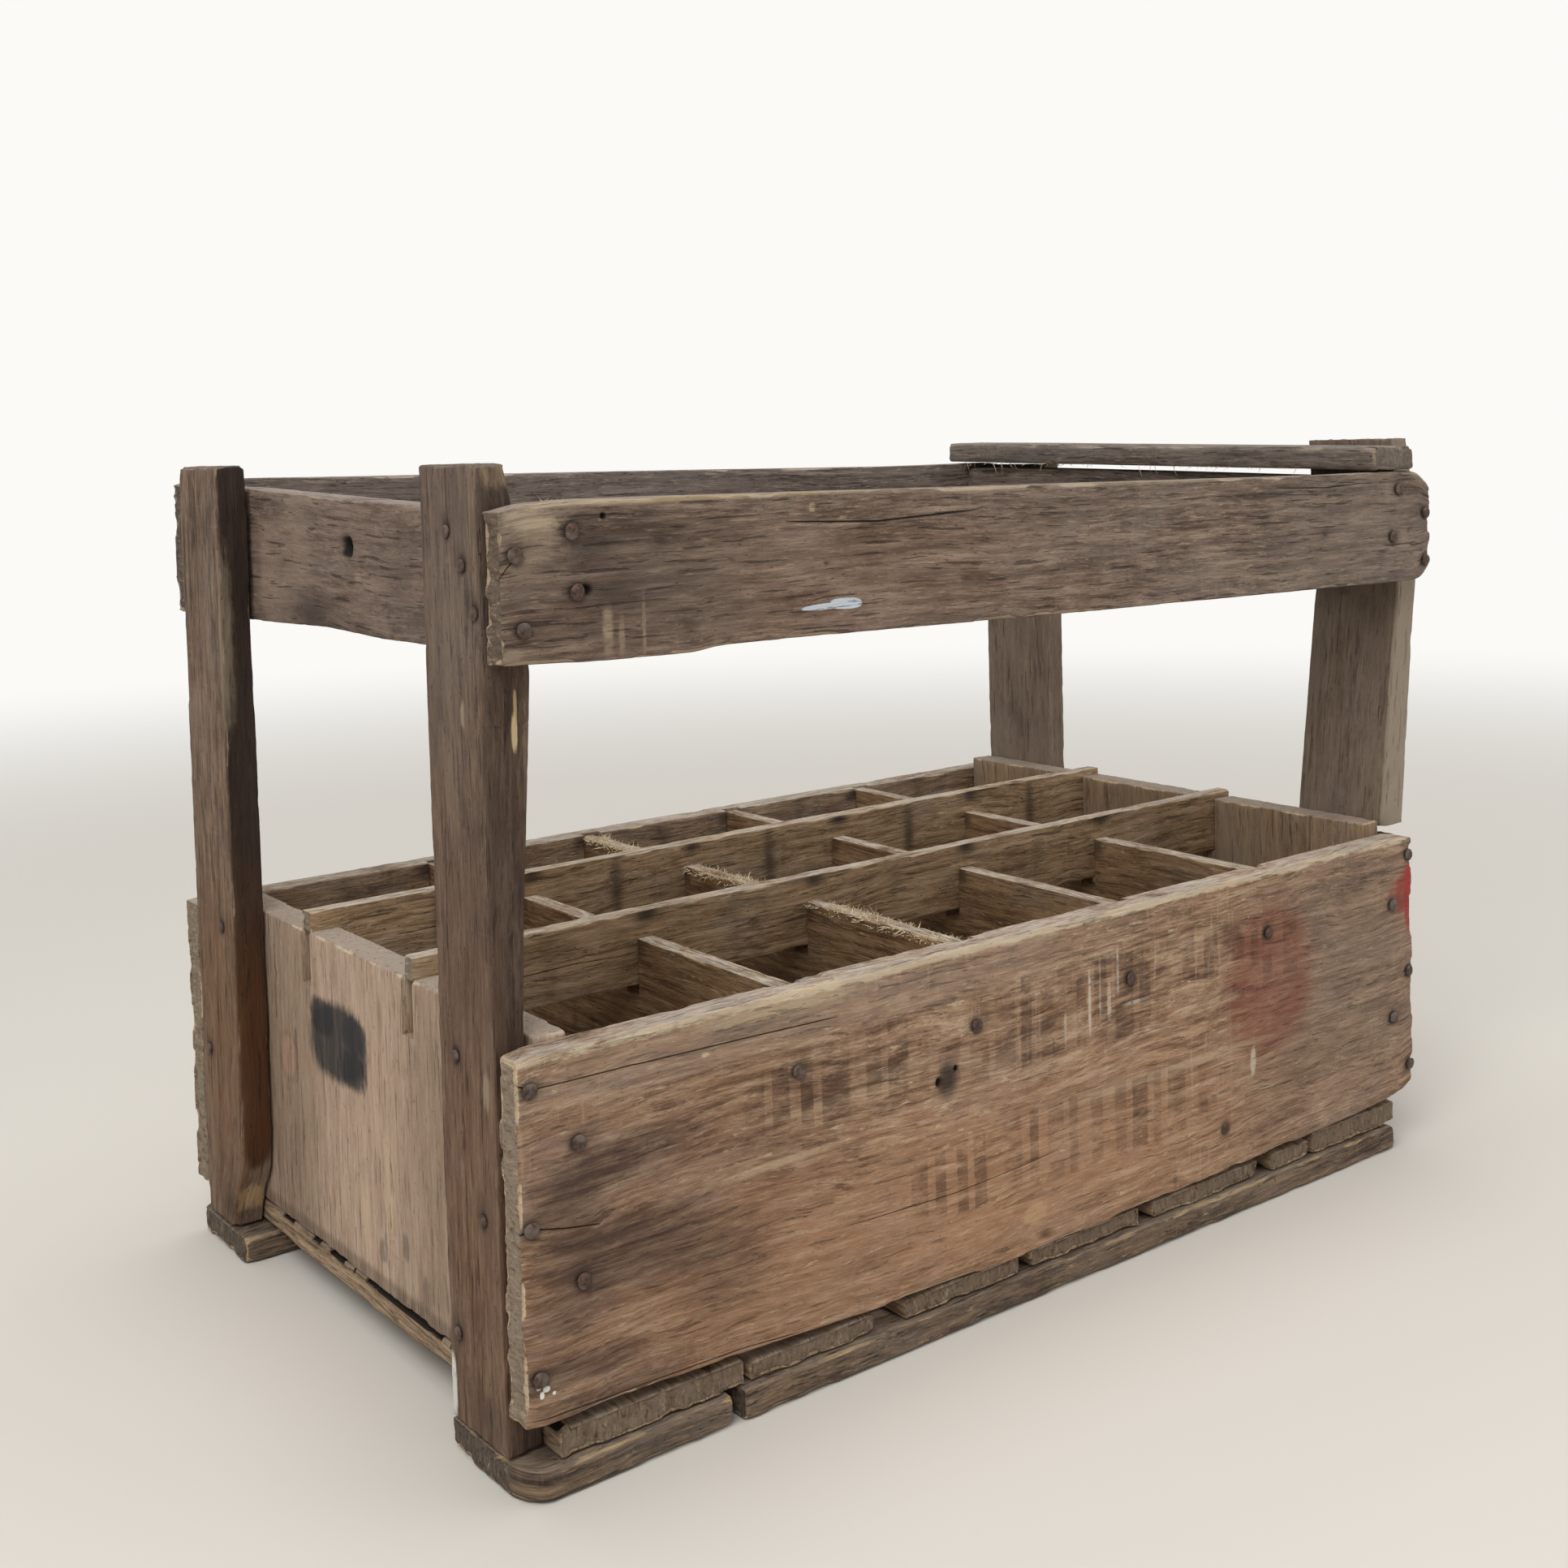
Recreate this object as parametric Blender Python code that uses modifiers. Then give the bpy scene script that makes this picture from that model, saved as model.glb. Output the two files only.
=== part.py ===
"""Wooden bottle crate: a nailed box of fifteen cells with corner posts and a raised carrying frame.

Run it with blender --background --python part.py, or from Blender's text editor.

The origin lies on the ground under the middle of the crate. +X runs along the crate towards the
end that carries the top plank, +Y runs from the front board to the back board, and +Z is up.
All lengths are in metres. A name that ends in SHARE or SHARES holds plain ratios of the sizes
that its comment names.

Words used here: the front and back boards close the long sides, the end panels close the short
ones, the posts stand outside the end panels, and near and far tell the front from the back.
"""

import math

import bmesh
import bpy
from mathutils import Matrix, Vector

# General fits
GAP = 0.0003                     # between two pieces that touch
OVERRUN = 0.004                  # how far a cutter runs past what it cuts
WELD = 0.00001                   # points closer than this are one point
EDGE_ROUND = 0.0009              # worn edges of the outer boards
FLAT_ANGLE = math.radians(0.4)   # faces this close to flat are one face
SHARP_ANGLE = math.radians(35.0)

# Outer box
DEPTH = 0.330                    # over the two side boards
INNER_LENGTH = 0.4942            # between the two end panels
BOARD_THICKNESS = 0.0144
BOARD_HEIGHT = 0.1459            # at its deepest place
BOARD_END_SHORT = 0.0068         # side boards stop this far short of the right posts' outer face
PANEL_THICKNESS = 0.0155
LEFT_PANEL_PROUD = 0.0018        # the end panels' top edges above the side boards' top edge
RIGHT_PANEL_PROUD = 0.0070

# Floor
RUNNER_THICKNESS = 0.013
RUNNER_WIDTH = 0.0595
RUNNER_SETBACK = 0.0005          # behind the side boards' faces
RUNNER_CORNER_RADIUS = 0.010
RUNNER_SPLIT = 0.0970            # where the front runner's two pieces meet, from the left end
RUNNER_SPLIT_GAP = 0.0030
SLAT_THICKNESS = 0.0085
END_SLAT_EXTRA = 0.0027          # the two end slats are thicker by this
SLAT_SETBACK = 0.0030            # behind the side boards' faces
SLAT_FIELD_SHORT = 0.0036        # the last slat stops this far short of the right panel's face

# Posts
POST_THICKNESS = 0.016           # left posts, along the crate
RIGHT_POST_THICKNESS = 0.0155
POST_HEIGHT = 0.3685
NEAR_LEFT_POST_WIDTH = 0.0442
FAR_LEFT_POST_WIDTH = 0.0486
NEAR_RIGHT_POST_WIDTH = 0.0545
FAR_RIGHT_POST_WIDTH = 0.0543
NEAR_RIGHT_POST_DROP = 0.0008    # its top below the left posts' tops
POST_LEAN = 0.0207               # how far the broken near right post leans outwards
POST_BREAK_GAP = 0.0016          # its lower end above the side board's top edge
STUMP_DROP = 0.0018              # the broken off stump's top below that edge
STUMP_LIFT = 0.0090              # the stump's foot above the right panel's foot

# Carrying frame
POST_RISE = 0.0128               # the left posts' tops above the front rail's top edge
RAIL_THICKNESS = 0.0132
RAIL_HEIGHT = 0.0651
RAIL_SETBACK = 0.0014            # behind the left posts' outer face
BACK_RAIL_HEIGHT = 0.0677
BACK_RAIL_LIFT = 0.0050          # the back rail is nailed higher than the front one
CROSS_RAIL_LIFT = 0.0043         # the cross rails' lower edge above the front rail's
LEFT_CROSS_RAIL_THICKNESS = 0.016
LEFT_CROSS_RAIL_HEIGHT = 0.0651
RIGHT_CROSS_RAIL_THICKNESS = 0.014
RIGHT_CROSS_RAIL_HEIGHT = 0.0591
RIGHT_CROSS_RAIL_SLANT = 0.0055  # its near end lies further outwards by this
PLANK_THICKNESS = 0.013
PLANK_WIDTH = 0.037
PLANK_END_SHORT = 0.0024         # the plank stops this far inside the back board's face
PLANK_ROUND = 0.0030

# Bottle grid
DIVIDER_THICKNESS = 0.0095
DIVIDER_DROP = 0.0011            # cross dividers' top edge below the side boards' top edge
DADO_DEPTH = 0.0050              # grooves in the side boards that hold the cross dividers
DADO_SLACK = 0.0016              # the grooves are wider than the dividers by this, on one side
STRIP_HEIGHT = 0.0337            # the two long dividers are shallow strips
STRIP_PROUD = 0.0118             # they stand above the cross dividers by this
SLOT_UNDERCUT = 0.0050           # the cross dividers' slots go deeper than the strips by this
STRIP_TAB_LENGTH = 0.0080        # left end: only a tab reaches across the panel
STRIP_TAB_HEIGHT = 0.0099
STRIP_END_INSET = 0.0007

# Round nails
NAIL_HEAD_RADIUS = 0.0031
NAIL_HEAD_THICKNESS = 0.0009
NAIL_RADIUS = 0.0011
NAIL_POINT = 0.0025
NAIL_SIDES = 8
NAIL_LENGTH = 0.031

# Places of the cross dividers and the strips, as shares of the inner length and inner depth
CROSS_DIVIDER_SHARES = (0.2036, 0.4000, 0.6018, 0.8061)
STRIP_SHARES = (0.3463, 0.6876)

# Slats: start and end as shares of the floor's length
SLAT_SHARES = ((0.000, 0.164), (0.168, 0.292), (0.325, 0.458), (0.470, 0.608),
               (0.626, 0.776), (0.797, 0.8585), (0.860, 1.000))

# Outlines: along the piece, then up it, as shares of its length and height
SIDE_BOARD_TOP_SHARES = ((1.0, 0.985), (0.992, 1.0), (0.008, 1.0), (0.0, 0.990))
FRONT_RAIL_LOWER_SHARES = ((0.0, 0.084), (0.068, 0.058), (0.153, 0.046), (0.171, 0.075), (0.323, 0.065),
                           (0.504, 0.038), (0.868, 0.009), (0.977, 0.0), (0.995, 0.048))
FRONT_RAIL_UPPER_SHARES = ((1.0, 0.25), (1.0, 0.75), (0.990, 0.885), (0.975, 0.9155), (0.850, 0.9155),
                           (0.350, 0.975), (0.060, 1.0), (0.020, 0.985), (0.0, 0.940))
BACK_RAIL_LOWER_SHARES = ((0.0, 0.030), (0.500, 0.0), (1.0, 0.020))
BACK_RAIL_UPPER_SHARES = ((1.0, 0.880), (0.990, 0.905), (0.830, 0.905), (0.340, 0.969), (0.070, 1.0),
                          (0.010, 0.995), (0.0, 0.950))
LEFT_CROSS_LOWER_SHARES = ((0.0, 0.0), (0.410, 0.006), (0.590, 0.0357), (0.760, 0.0155), (1.0, 0.010))
LEFT_CROSS_UPPER_SHARES = ((1.0, 1.0), (0.833, 0.981), (0.244, 0.879), (0.0, 0.837))
RIGHT_CROSS_LOWER_SHARES = ((0.0, 0.0), (1.0, 0.0))
RIGHT_CROSS_UPPER_SHARES = ((1.0, 1.0), (0.800, 0.993), (0.170, 0.914), (0.0, 0.892))

# Side boards' lower edges: along the board as shares of its length, up as shares of the end slats' extra
FRONT_BOARD_LOWER_SHARES = ((0.0, 3.60), (0.010, 2.80), (0.084, 2.75), (0.176, 2.30), (0.302, 0.90),
                            (0.460, 0.0), (0.820, 1.20), (0.920, 1.80), (0.985, 2.70), (1.0, 4.30))
BACK_BOARD_LOWER_SHARES = ((0.0, 1.60), (0.190, 1.20), (0.300, 0.0), (0.800, 0.0), (0.840, 1.20), (1.0, 1.60))

# Near left post: up as shares of its height, then its inner face as shares of its thickness
NEAR_LEFT_POST_SHARES = ((0.0, 1.0), (0.300, 1.0), (0.434, 0.870), (0.580, 1.020), (0.737, 1.275),
                         (0.794, 1.344), (0.900, 1.190), (0.965, 1.030), (0.992, 0.906), (1.0, 0.800))
# Far left post: up as shares of its height, then its near face inwards as shares of its width
FAR_LEFT_POST_SHARES = ((0.0, 0.380), (0.030, 0.300), (0.085, 0.060), (0.150, 0.0), (1.0, 0.0))
# Near right post: up as shares of its height, then its lean, then its thickness, as shares of those sizes
NEAR_RIGHT_POST_SHARES = ((0.0, 0.080, 1.306), (0.542, 0.880, 1.026), (0.627, 1.0, 1.050),
                          (0.807, 0.900, 1.100), (0.925, 0.780, 1.030), (1.0, 0.730, 0.840))

# Nails: across the piece behind as shares of its thickness, then up as shares of the nailed board's height
LEFT_POST_SHARES = ((0.380, 0.915), (0.320, 0.565), (0.420, 0.180))
LEFT_PANEL_SHARES = ((0.630, 0.751), (0.660, 0.394))
RIGHT_POST_SHARES = ((0.300, 0.928), (0.270, 0.496), (0.300, 0.148))
RIGHT_PANEL_SHARES = ((0.390, 0.757), (0.390, 0.340))
DIVIDER_NAIL_SHARES = ((-0.290, 0.771), (-0.160, 0.755), (-0.290, 0.765), (-0.240, 0.786))
RAIL_LEFT_POST_SHARES = ((0.520, 0.700), (0.690, 0.281))
RAIL_LEFT_CROSS_SHARES = ((0.594, 0.816), (0.687, 0.472))
RAIL_RIGHT_POST_SHARES = ((0.280, 0.556), (0.250, 0.169))
RAIL_RIGHT_CROSS_SHARES = ((0.714, 0.762), (0.320, 0.378))
# Nails through the posts: across the post as shares of its width, then up as shares of its height for
# those in the cross rail, and of the side boards' height for those in the end panel
NEAR_LEFT_RAIL_SIDE_SHARES = ((0.527, 0.935), (0.276, 0.901), (0.090, 0.8545))
NEAR_LEFT_PANEL_SIDE_SHARES = ((0.692, 0.935), (0.300, 0.536), (0.819, 0.185))
FAR_LEFT_PANEL_SIDE_SHARES = ((0.327, 0.959), (0.786, 0.517))
RAIL_END_SHARE = 0.61                    # how far the front rail covers the leaning post's thickness

# Surface colours, linear
PALE_WOOD = (0.255, 0.175, 0.112)
TAN_WOOD = (0.300, 0.210, 0.135)
BROWN_WOOD = (0.190, 0.120, 0.077)
GREY_WOOD = (0.125, 0.098, 0.076)
DARK_WOOD = (0.085, 0.060, 0.042)
NAIL_COLOUR = (0.045, 0.034, 0.030)

# Levels, from the ground up
SLAT_BASE = RUNNER_THICKNESS + GAP
SLAT_TOP = SLAT_BASE + SLAT_THICKNESS
END_SLAT_TOP = SLAT_TOP + END_SLAT_EXTRA
BOARD_BASE = SLAT_TOP + GAP
BOARD_TOP = BOARD_BASE + BOARD_HEIGHT
PANEL_BASE = END_SLAT_TOP + GAP
LEFT_PANEL_TOP = BOARD_TOP + LEFT_PANEL_PROUD
RIGHT_PANEL_TOP = BOARD_TOP + RIGHT_PANEL_PROUD
POST_TOP = SLAT_BASE + POST_HEIGHT
RAIL_BASE = POST_TOP - POST_RISE - RAIL_HEIGHT
BACK_RAIL_BASE = RAIL_BASE + BACK_RAIL_LIFT
CROSS_RAIL_BASE = RAIL_BASE + CROSS_RAIL_LIFT
NEAR_RIGHT_POST_BASE = BOARD_TOP + POST_BREAK_GAP
NEAR_RIGHT_POST_HEIGHT = POST_TOP - NEAR_RIGHT_POST_DROP - NEAR_RIGHT_POST_BASE
STUMP_BASE = PANEL_BASE + STUMP_LIFT
STUMP_HEIGHT = BOARD_TOP - STUMP_DROP - STUMP_BASE
CROSS_DIVIDER_TOP = BOARD_TOP - DIVIDER_DROP
STRIP_TOP = CROSS_DIVIDER_TOP + STRIP_PROUD
STRIP_BASE = STRIP_TOP - STRIP_HEIGHT
RIGHT_RAIL_SHARE = FRONT_RAIL_UPPER_SHARES[4][1]
BACK_RIGHT_RAIL_SHARE = BACK_RAIL_UPPER_SHARES[2][1]
PLANK_FRONT_BASE = RAIL_BASE + RIGHT_RAIL_SHARE * RAIL_HEIGHT + GAP
PLANK_BACK_BASE = BACK_RAIL_BASE + BACK_RIGHT_RAIL_SHARE * BACK_RAIL_HEIGHT + GAP

# Along the crate, from the left posts' outer face
LEFT_PANEL_OUTER = POST_THICKNESS + GAP
LEFT_PANEL_INNER = LEFT_PANEL_OUTER + PANEL_THICKNESS
RIGHT_PANEL_INNER = LEFT_PANEL_INNER + INNER_LENGTH
RIGHT_PANEL_OUTER = RIGHT_PANEL_INNER + PANEL_THICKNESS
RIGHT_POST_INNER = RIGHT_PANEL_OUTER + GAP
RIGHT_POST_OUTER = RIGHT_POST_INNER + RIGHT_POST_THICKNESS
BOARD_LENGTH = RIGHT_POST_OUTER - BOARD_END_SHORT
FLOOR_START = LEFT_PANEL_OUTER
FLOOR_LENGTH = RIGHT_PANEL_OUTER - SLAT_FIELD_SHORT - FLOOR_START
LEANING_POST_OUTER = RIGHT_POST_INNER + POST_LEAN + NEAR_RIGHT_POST_SHARES[2][2] * RIGHT_POST_THICKNESS
LEANING_POST_NAILED = RIGHT_POST_INNER + POST_LEAN
RAIL_LENGTH = LEANING_POST_NAILED + RAIL_END_SHARE * RIGHT_POST_THICKNESS - RAIL_SETBACK
BACK_RAIL_LENGTH = RIGHT_POST_OUTER - RAIL_SETBACK - RAIL_SETBACK
PLANK_OUTER = RIGHT_POST_INNER + POST_LEAN * NEAR_RIGHT_POST_SHARES[-1][1] - GAP
PLANK_INNER = PLANK_OUTER - PLANK_WIDTH
RUNNER_END = RIGHT_PANEL_OUTER - SLAT_FIELD_SHORT - SLAT_FIELD_SHORT

# Across the crate, from the front board's outer face
INNER_FRONT = BOARD_THICKNESS
INNER_BACK = DEPTH - BOARD_THICKNESS
POST_FRONT = INNER_FRONT + GAP
POST_BACK = INNER_BACK - GAP
RAIL_FRONT = BOARD_THICKNESS - RAIL_THICKNESS
NEAR_LEFT_BULGE_SHARE = NEAR_LEFT_POST_SHARES[5][1]
LEFT_CROSS_FAR = LEFT_PANEL_OUTER
RIGHT_CROSS_REACH = POST_BACK - FAR_RIGHT_POST_WIDTH - POST_FRONT
INNER_SPAN = POST_BACK - POST_FRONT
NAIL_PROUD = GAP + NAIL_HEAD_THICKNESS
ORIGIN = Vector(((LEANING_POST_OUTER - NAIL_PROUD) / 2, (DEPTH - NAIL_PROUD) / 2, 0))

# An outline's own X and Y turned to face the front, the end or the sky, and where its thickness goes
FRONT_VIEW = (Matrix(((1, 0, 0), (0, 0, -1), (0, 1, 0))).to_4x4(), Vector((0, 1, 0)))
END_VIEW = (Matrix(((0, 0, 1), (1, 0, 0), (0, 1, 0))).to_4x4(), Vector((1, 0, 0)))
PLAN_VIEW = (Matrix.Identity(4), Vector((0, 0, 1)))

TO_BACK = Vector((0, 1, 0))
TO_RIGHT = Vector((1, 0, 0))


def clear_scene():
    """Remove every object, so that the file can be run again."""
    for thing in list(bpy.data.objects):
        bpy.data.objects.remove(thing, do_unlink=True)


def new_collection(name):
    """A fresh collection under the scene's own."""
    collection = bpy.data.collections.new(name)
    bpy.context.scene.collection.children.link(collection)
    return collection


def new_material(name, colour, roughness, metallic):
    """A Principled material."""
    material = bpy.data.materials.new(name)
    material.use_nodes = True
    shader = material.node_tree.nodes["Principled BSDF"]
    shader.inputs["Base Color"].default_value = (*colour, 1.0)
    shader.inputs["Roughness"].default_value = roughness
    shader.inputs["Metallic"].default_value = metallic
    return material


def evaluated_mesh(name, data, set_up=None):
    """The closed mesh of a passing object made from the data, with set_up's modifiers on it."""
    helper = bpy.data.objects.new(name, data)
    bpy.context.scene.collection.objects.link(helper)
    if set_up:
        set_up(helper)
    bpy.context.view_layer.update()
    mesh = bpy.data.meshes.new_from_object(helper.evaluated_get(bpy.context.evaluated_depsgraph_get()))
    bpy.data.objects.remove(helper, do_unlink=True)
    body = bmesh.new()
    body.from_mesh(mesh)
    bmesh.ops.remove_doubles(body, verts=body.verts, dist=WELD)
    bmesh.ops.dissolve_limit(body, angle_limit=FLAT_ANGLE, verts=body.verts, edges=body.edges)
    bmesh.ops.recalc_face_normals(body, faces=body.faces)
    body.to_mesh(mesh)
    body.free()
    return mesh


def outline_mesh(name, points, thickness):
    """A flat outline as a 2D curve, filled and extruded both ways by half the thickness."""
    curve = bpy.data.curves.new(name, "CURVE")
    curve.dimensions = "2D"
    curve.fill_mode = "BOTH"
    curve.extrude = thickness / 2
    spline = curve.splines.new("POLY")
    spline.points.add(len(points) - 1)
    for point, (across, up) in zip(spline.points, points):
        point.co = (across, up, 0, 1)
    spline.use_cyclic_u = True
    return evaluated_mesh(name, curve)


def turned_mesh(name, profile):
    """A profile at +X, running down from the axis at the top to the axis at the bottom, turned about Z."""
    mesh = bpy.data.meshes.new(name)
    edges = [(index, index + 1) for index in range(len(profile) - 1)]
    mesh.from_pydata([(radius, 0, height) for radius, height in profile], edges, [])

    def add_screw(helper):
        screw = helper.modifiers.new("turn", "SCREW")
        screw.axis = "Z"
        screw.steps = NAIL_SIDES
        screw.render_steps = NAIL_SIDES
        screw.use_merge_vertices = True
        screw.merge_threshold = WELD

    return evaluated_mesh(name, mesh, add_screw)


def share_outline(length, height, lower_shares, upper_shares):
    """An outline whose lower edge runs left to right and whose upper edge runs back again."""
    return [(along * length, up * height) for along, up in (*lower_shares, *upper_shares)]


def side_board_outline(lower_shares):
    """A side board's outline; its lower edge rises clear of the thicker end slats."""
    lower = [(along * BOARD_LENGTH, rise * END_SLAT_EXTRA) for along, rise in lower_shares]
    upper = [(along * BOARD_LENGTH, up * BOARD_HEIGHT) for along, up in SIDE_BOARD_TOP_SHARES]
    return lower + upper


def rectangle(length, height):
    """A plain rectangle's corners."""
    return [(0, 0), (length, 0), (length, height), (0, height)]


def slotted_outline(length, height, slot_centres, slot_depth):
    """A rectangle with slots for the long strips cut down from its top edge."""
    reach = DIVIDER_THICKNESS / 2 + GAP
    points = [(0, 0), (length, 0), (length, height)]
    for centre in sorted(slot_centres, reverse=True):
        points += [(centre + reach, height), (centre + reach, height - slot_depth),
                   (centre - reach, height - slot_depth), (centre - reach, height)]
    return points + [(0, height)]


def corner_arc(centre, radius, start_turn, steps=4):
    """A quarter circle of points; start_turn counts quarter turns from +X."""
    angles = [math.pi / 2 * (start_turn + step / steps) for step in range(steps + 1)]
    return [(centre[0] + radius * math.cos(angle), centre[1] + radius * math.sin(angle)) for angle in angles]


def strip_centres():
    """Where the two long strips run, from the front board's outer face."""
    return [INNER_FRONT + share * (INNER_BACK - INNER_FRONT) for share in STRIP_SHARES]


def cross_divider_centres():
    """Where the four cross dividers stand, from the left posts' outer face."""
    return [LEFT_PANEL_INNER + share * INNER_LENGTH for share in CROSS_DIVIDER_SHARES]


def slat_spans():
    """Start and end of each slat along the crate."""
    return [(FLOOR_START + start * FLOOR_LENGTH, FLOOR_START + end * FLOOR_LENGTH)
            for start, end in SLAT_SHARES]


class Crate:
    """Holds the crate's empty, its collections and the one cutter that bores every nail's hole."""

    def __init__(self):
        self.parts = new_collection("wooden_bottle_crate")
        self.cutters = new_collection("crate_cutters")
        self.root = bpy.data.objects.new("crate_frame", None)
        self.root.location = -ORIGIN
        self.parts.objects.link(self.root)
        self.bores = None

    def place(self, thing, matrix):
        """Hang a part from the crate's empty."""
        self.parts.objects.link(thing)
        thing.parent = self.root
        thing.matrix_basis = matrix

    def cutter(self, name, mesh):
        """A hidden wire-drawn cutter."""
        thing = bpy.data.objects.new(name, mesh)
        self.cutters.objects.link(thing)
        thing.parent = self.root
        thing.hide_render = True
        thing.display_type = "WIRE"
        return thing

    def board(self, name, points, thickness, view, corner, colour,
              turn=None, rounding=EDGE_ROUND, grooves=None):
        """A sawn piece: an outline of one thickness, standing at its corner, then bored for its nails."""
        facing, depth_axis = view
        place = Matrix.Translation(corner) @ (turn or Matrix.Identity(4))
        place = place @ Matrix.Translation(depth_axis * (thickness / 2)) @ facing
        thing = bpy.data.objects.new(name, outline_mesh(name, points, thickness))
        thing.data.materials.append(new_material(name + "_wood", colour, 0.82, 0.0))
        self.place(thing, place)
        if rounding:
            bevel = thing.modifiers.new("worn edges", "BEVEL")
            bevel.width = rounding
            bevel.segments = 1
            bevel.limit_method = "ANGLE"
            bevel.angle_limit = SHARP_ANGLE
        for label, cutter in (("grooves", grooves), ("nail bores", self.bores)):
            if cutter:
                cut = thing.modifiers.new(label, "BOOLEAN")
                cut.operation = "DIFFERENCE"
                cut.object = cutter
        return thing


def nail_profile():
    """Half a round nail: flat head, shank and point; its seat is at height zero."""
    return [(0, NAIL_PROUD), (NAIL_HEAD_RADIUS, NAIL_PROUD), (NAIL_HEAD_RADIUS, GAP), (NAIL_RADIUS, GAP),
            (NAIL_RADIUS, NAIL_POINT - NAIL_LENGTH), (0, -NAIL_LENGTH)]


def bore_profile():
    """Half of the hole that a nail's shank sits in."""
    bore = NAIL_RADIUS + GAP
    floor = -NAIL_LENGTH - GAP
    return [(0, OVERRUN), (bore, OVERRUN), (bore, floor), (0, floor)]


def column_sites(left_edge, width, base, height, shares, face):
    """Nail sites in one column of a front face: a point on the face, and the way to the back."""
    return [(Vector((left_edge + across * width, face, base + up * height)), TO_BACK)
            for across, up in shares]


def front_board_sites():
    """The nails that hold the front board to the posts, the end panels and the cross dividers."""
    columns = ((0, POST_THICKNESS, LEFT_POST_SHARES),
               (LEFT_PANEL_OUTER, PANEL_THICKNESS, LEFT_PANEL_SHARES),
               (RIGHT_POST_INNER, RIGHT_POST_THICKNESS, RIGHT_POST_SHARES),
               (RIGHT_PANEL_INNER, PANEL_THICKNESS, RIGHT_PANEL_SHARES))
    sites = []
    for edge, width, shares in columns:
        sites += column_sites(edge, width, BOARD_BASE, BOARD_HEIGHT, shares, 0)
    for centre, share in zip(cross_divider_centres(), DIVIDER_NAIL_SHARES):
        sites += column_sites(centre, DIVIDER_THICKNESS, BOARD_BASE, BOARD_HEIGHT, [share], 0)
    return sites


def front_rail_sites():
    """The nails that hold the front rail to the near posts and the cross rails."""
    right_cross_edge = right_cross_corner().x
    columns = ((0, POST_THICKNESS, RAIL_LEFT_POST_SHARES),
               (left_cross_corner().x, LEFT_CROSS_RAIL_THICKNESS, RAIL_LEFT_CROSS_SHARES),
               (LEANING_POST_NAILED, RIGHT_POST_THICKNESS, RAIL_RIGHT_POST_SHARES),
               (right_cross_edge, RIGHT_CROSS_RAIL_THICKNESS, RAIL_RIGHT_CROSS_SHARES))
    sites = []
    for edge, width, shares in columns:
        sites += column_sites(edge, width, RAIL_BASE, RAIL_HEIGHT, shares, RAIL_FRONT)
    return sites


def left_cross_angle():
    """The left cross rail's turn in plan: it clears the bulge of the near left post."""
    bulge = NEAR_LEFT_BULGE_SHARE * POST_THICKNESS + GAP - LEFT_CROSS_FAR
    return math.atan(bulge / (INNER_SPAN - NEAR_LEFT_POST_WIDTH))


def left_cross_corner():
    """The left cross rail's near outer corner."""
    near = LEFT_CROSS_FAR + INNER_SPAN * math.tan(left_cross_angle())
    return Vector((near, POST_FRONT, CROSS_RAIL_BASE))


def right_cross_angle():
    """The right cross rail's turn in plan."""
    return math.atan(RIGHT_CROSS_RAIL_SLANT / RIGHT_CROSS_REACH)


def right_cross_corner():
    """The right cross rail's near inner corner; its outer face just clears the far right post."""
    turn = right_cross_angle()
    depth = RIGHT_CROSS_RAIL_THICKNESS
    run = (RIGHT_CROSS_REACH - depth * math.sin(turn)) * math.tan(turn)
    return Vector((RIGHT_PANEL_OUTER - depth * math.cos(turn) + run, POST_FRONT, CROSS_RAIL_BASE))


def cross_rail_length(thickness, turn):
    """A turned cross rail's length, so that both ends stay clear of the long rails."""
    return (INNER_SPAN - thickness * math.sin(turn)) / math.cos(turn)


def plank_slope():
    """The plank's rise per length, from the front rail's top to the back rail's."""
    return (PLANK_BACK_BASE - PLANK_FRONT_BASE) / (INNER_BACK - RAIL_FRONT)


def plank_place():
    """The plank's corner and tilt: its underside rests on the two rails."""
    start = PLANK_FRONT_BASE - plank_slope() * RAIL_FRONT
    tilt = Matrix.Rotation(math.atan(plank_slope()), 4, "X")
    return Matrix.Translation((PLANK_INNER, 0, start)) @ tilt


def plank_length():
    """The plank's own length along its tilt."""
    return (DEPTH - PLANK_END_SHORT) * math.cos(math.atan(plank_slope()))


def far_right_post_height():
    """The far right post stands under the plank."""
    near_edge = POST_BACK - FAR_RIGHT_POST_WIDTH
    return PLANK_FRONT_BASE + plank_slope() * (near_edge - RAIL_FRONT) - GAP - SLAT_BASE


def left_post_sites():
    """The nails driven through the left posts into the left end panel and the left cross rail."""
    far_edge = POST_BACK - FAR_LEFT_POST_WIDTH
    rows = ((POST_FRONT, NEAR_LEFT_POST_WIDTH, SLAT_BASE, POST_HEIGHT, NEAR_LEFT_RAIL_SIDE_SHARES),
            (POST_FRONT, NEAR_LEFT_POST_WIDTH, BOARD_BASE, BOARD_HEIGHT, NEAR_LEFT_PANEL_SIDE_SHARES),
            (far_edge, FAR_LEFT_POST_WIDTH, BOARD_BASE, BOARD_HEIGHT, FAR_LEFT_PANEL_SIDE_SHARES))
    return [(Vector((0, near_edge + across * width, base + up * height)), TO_RIGHT)
            for near_edge, width, base, height, shares in rows for across, up in shares]


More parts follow.
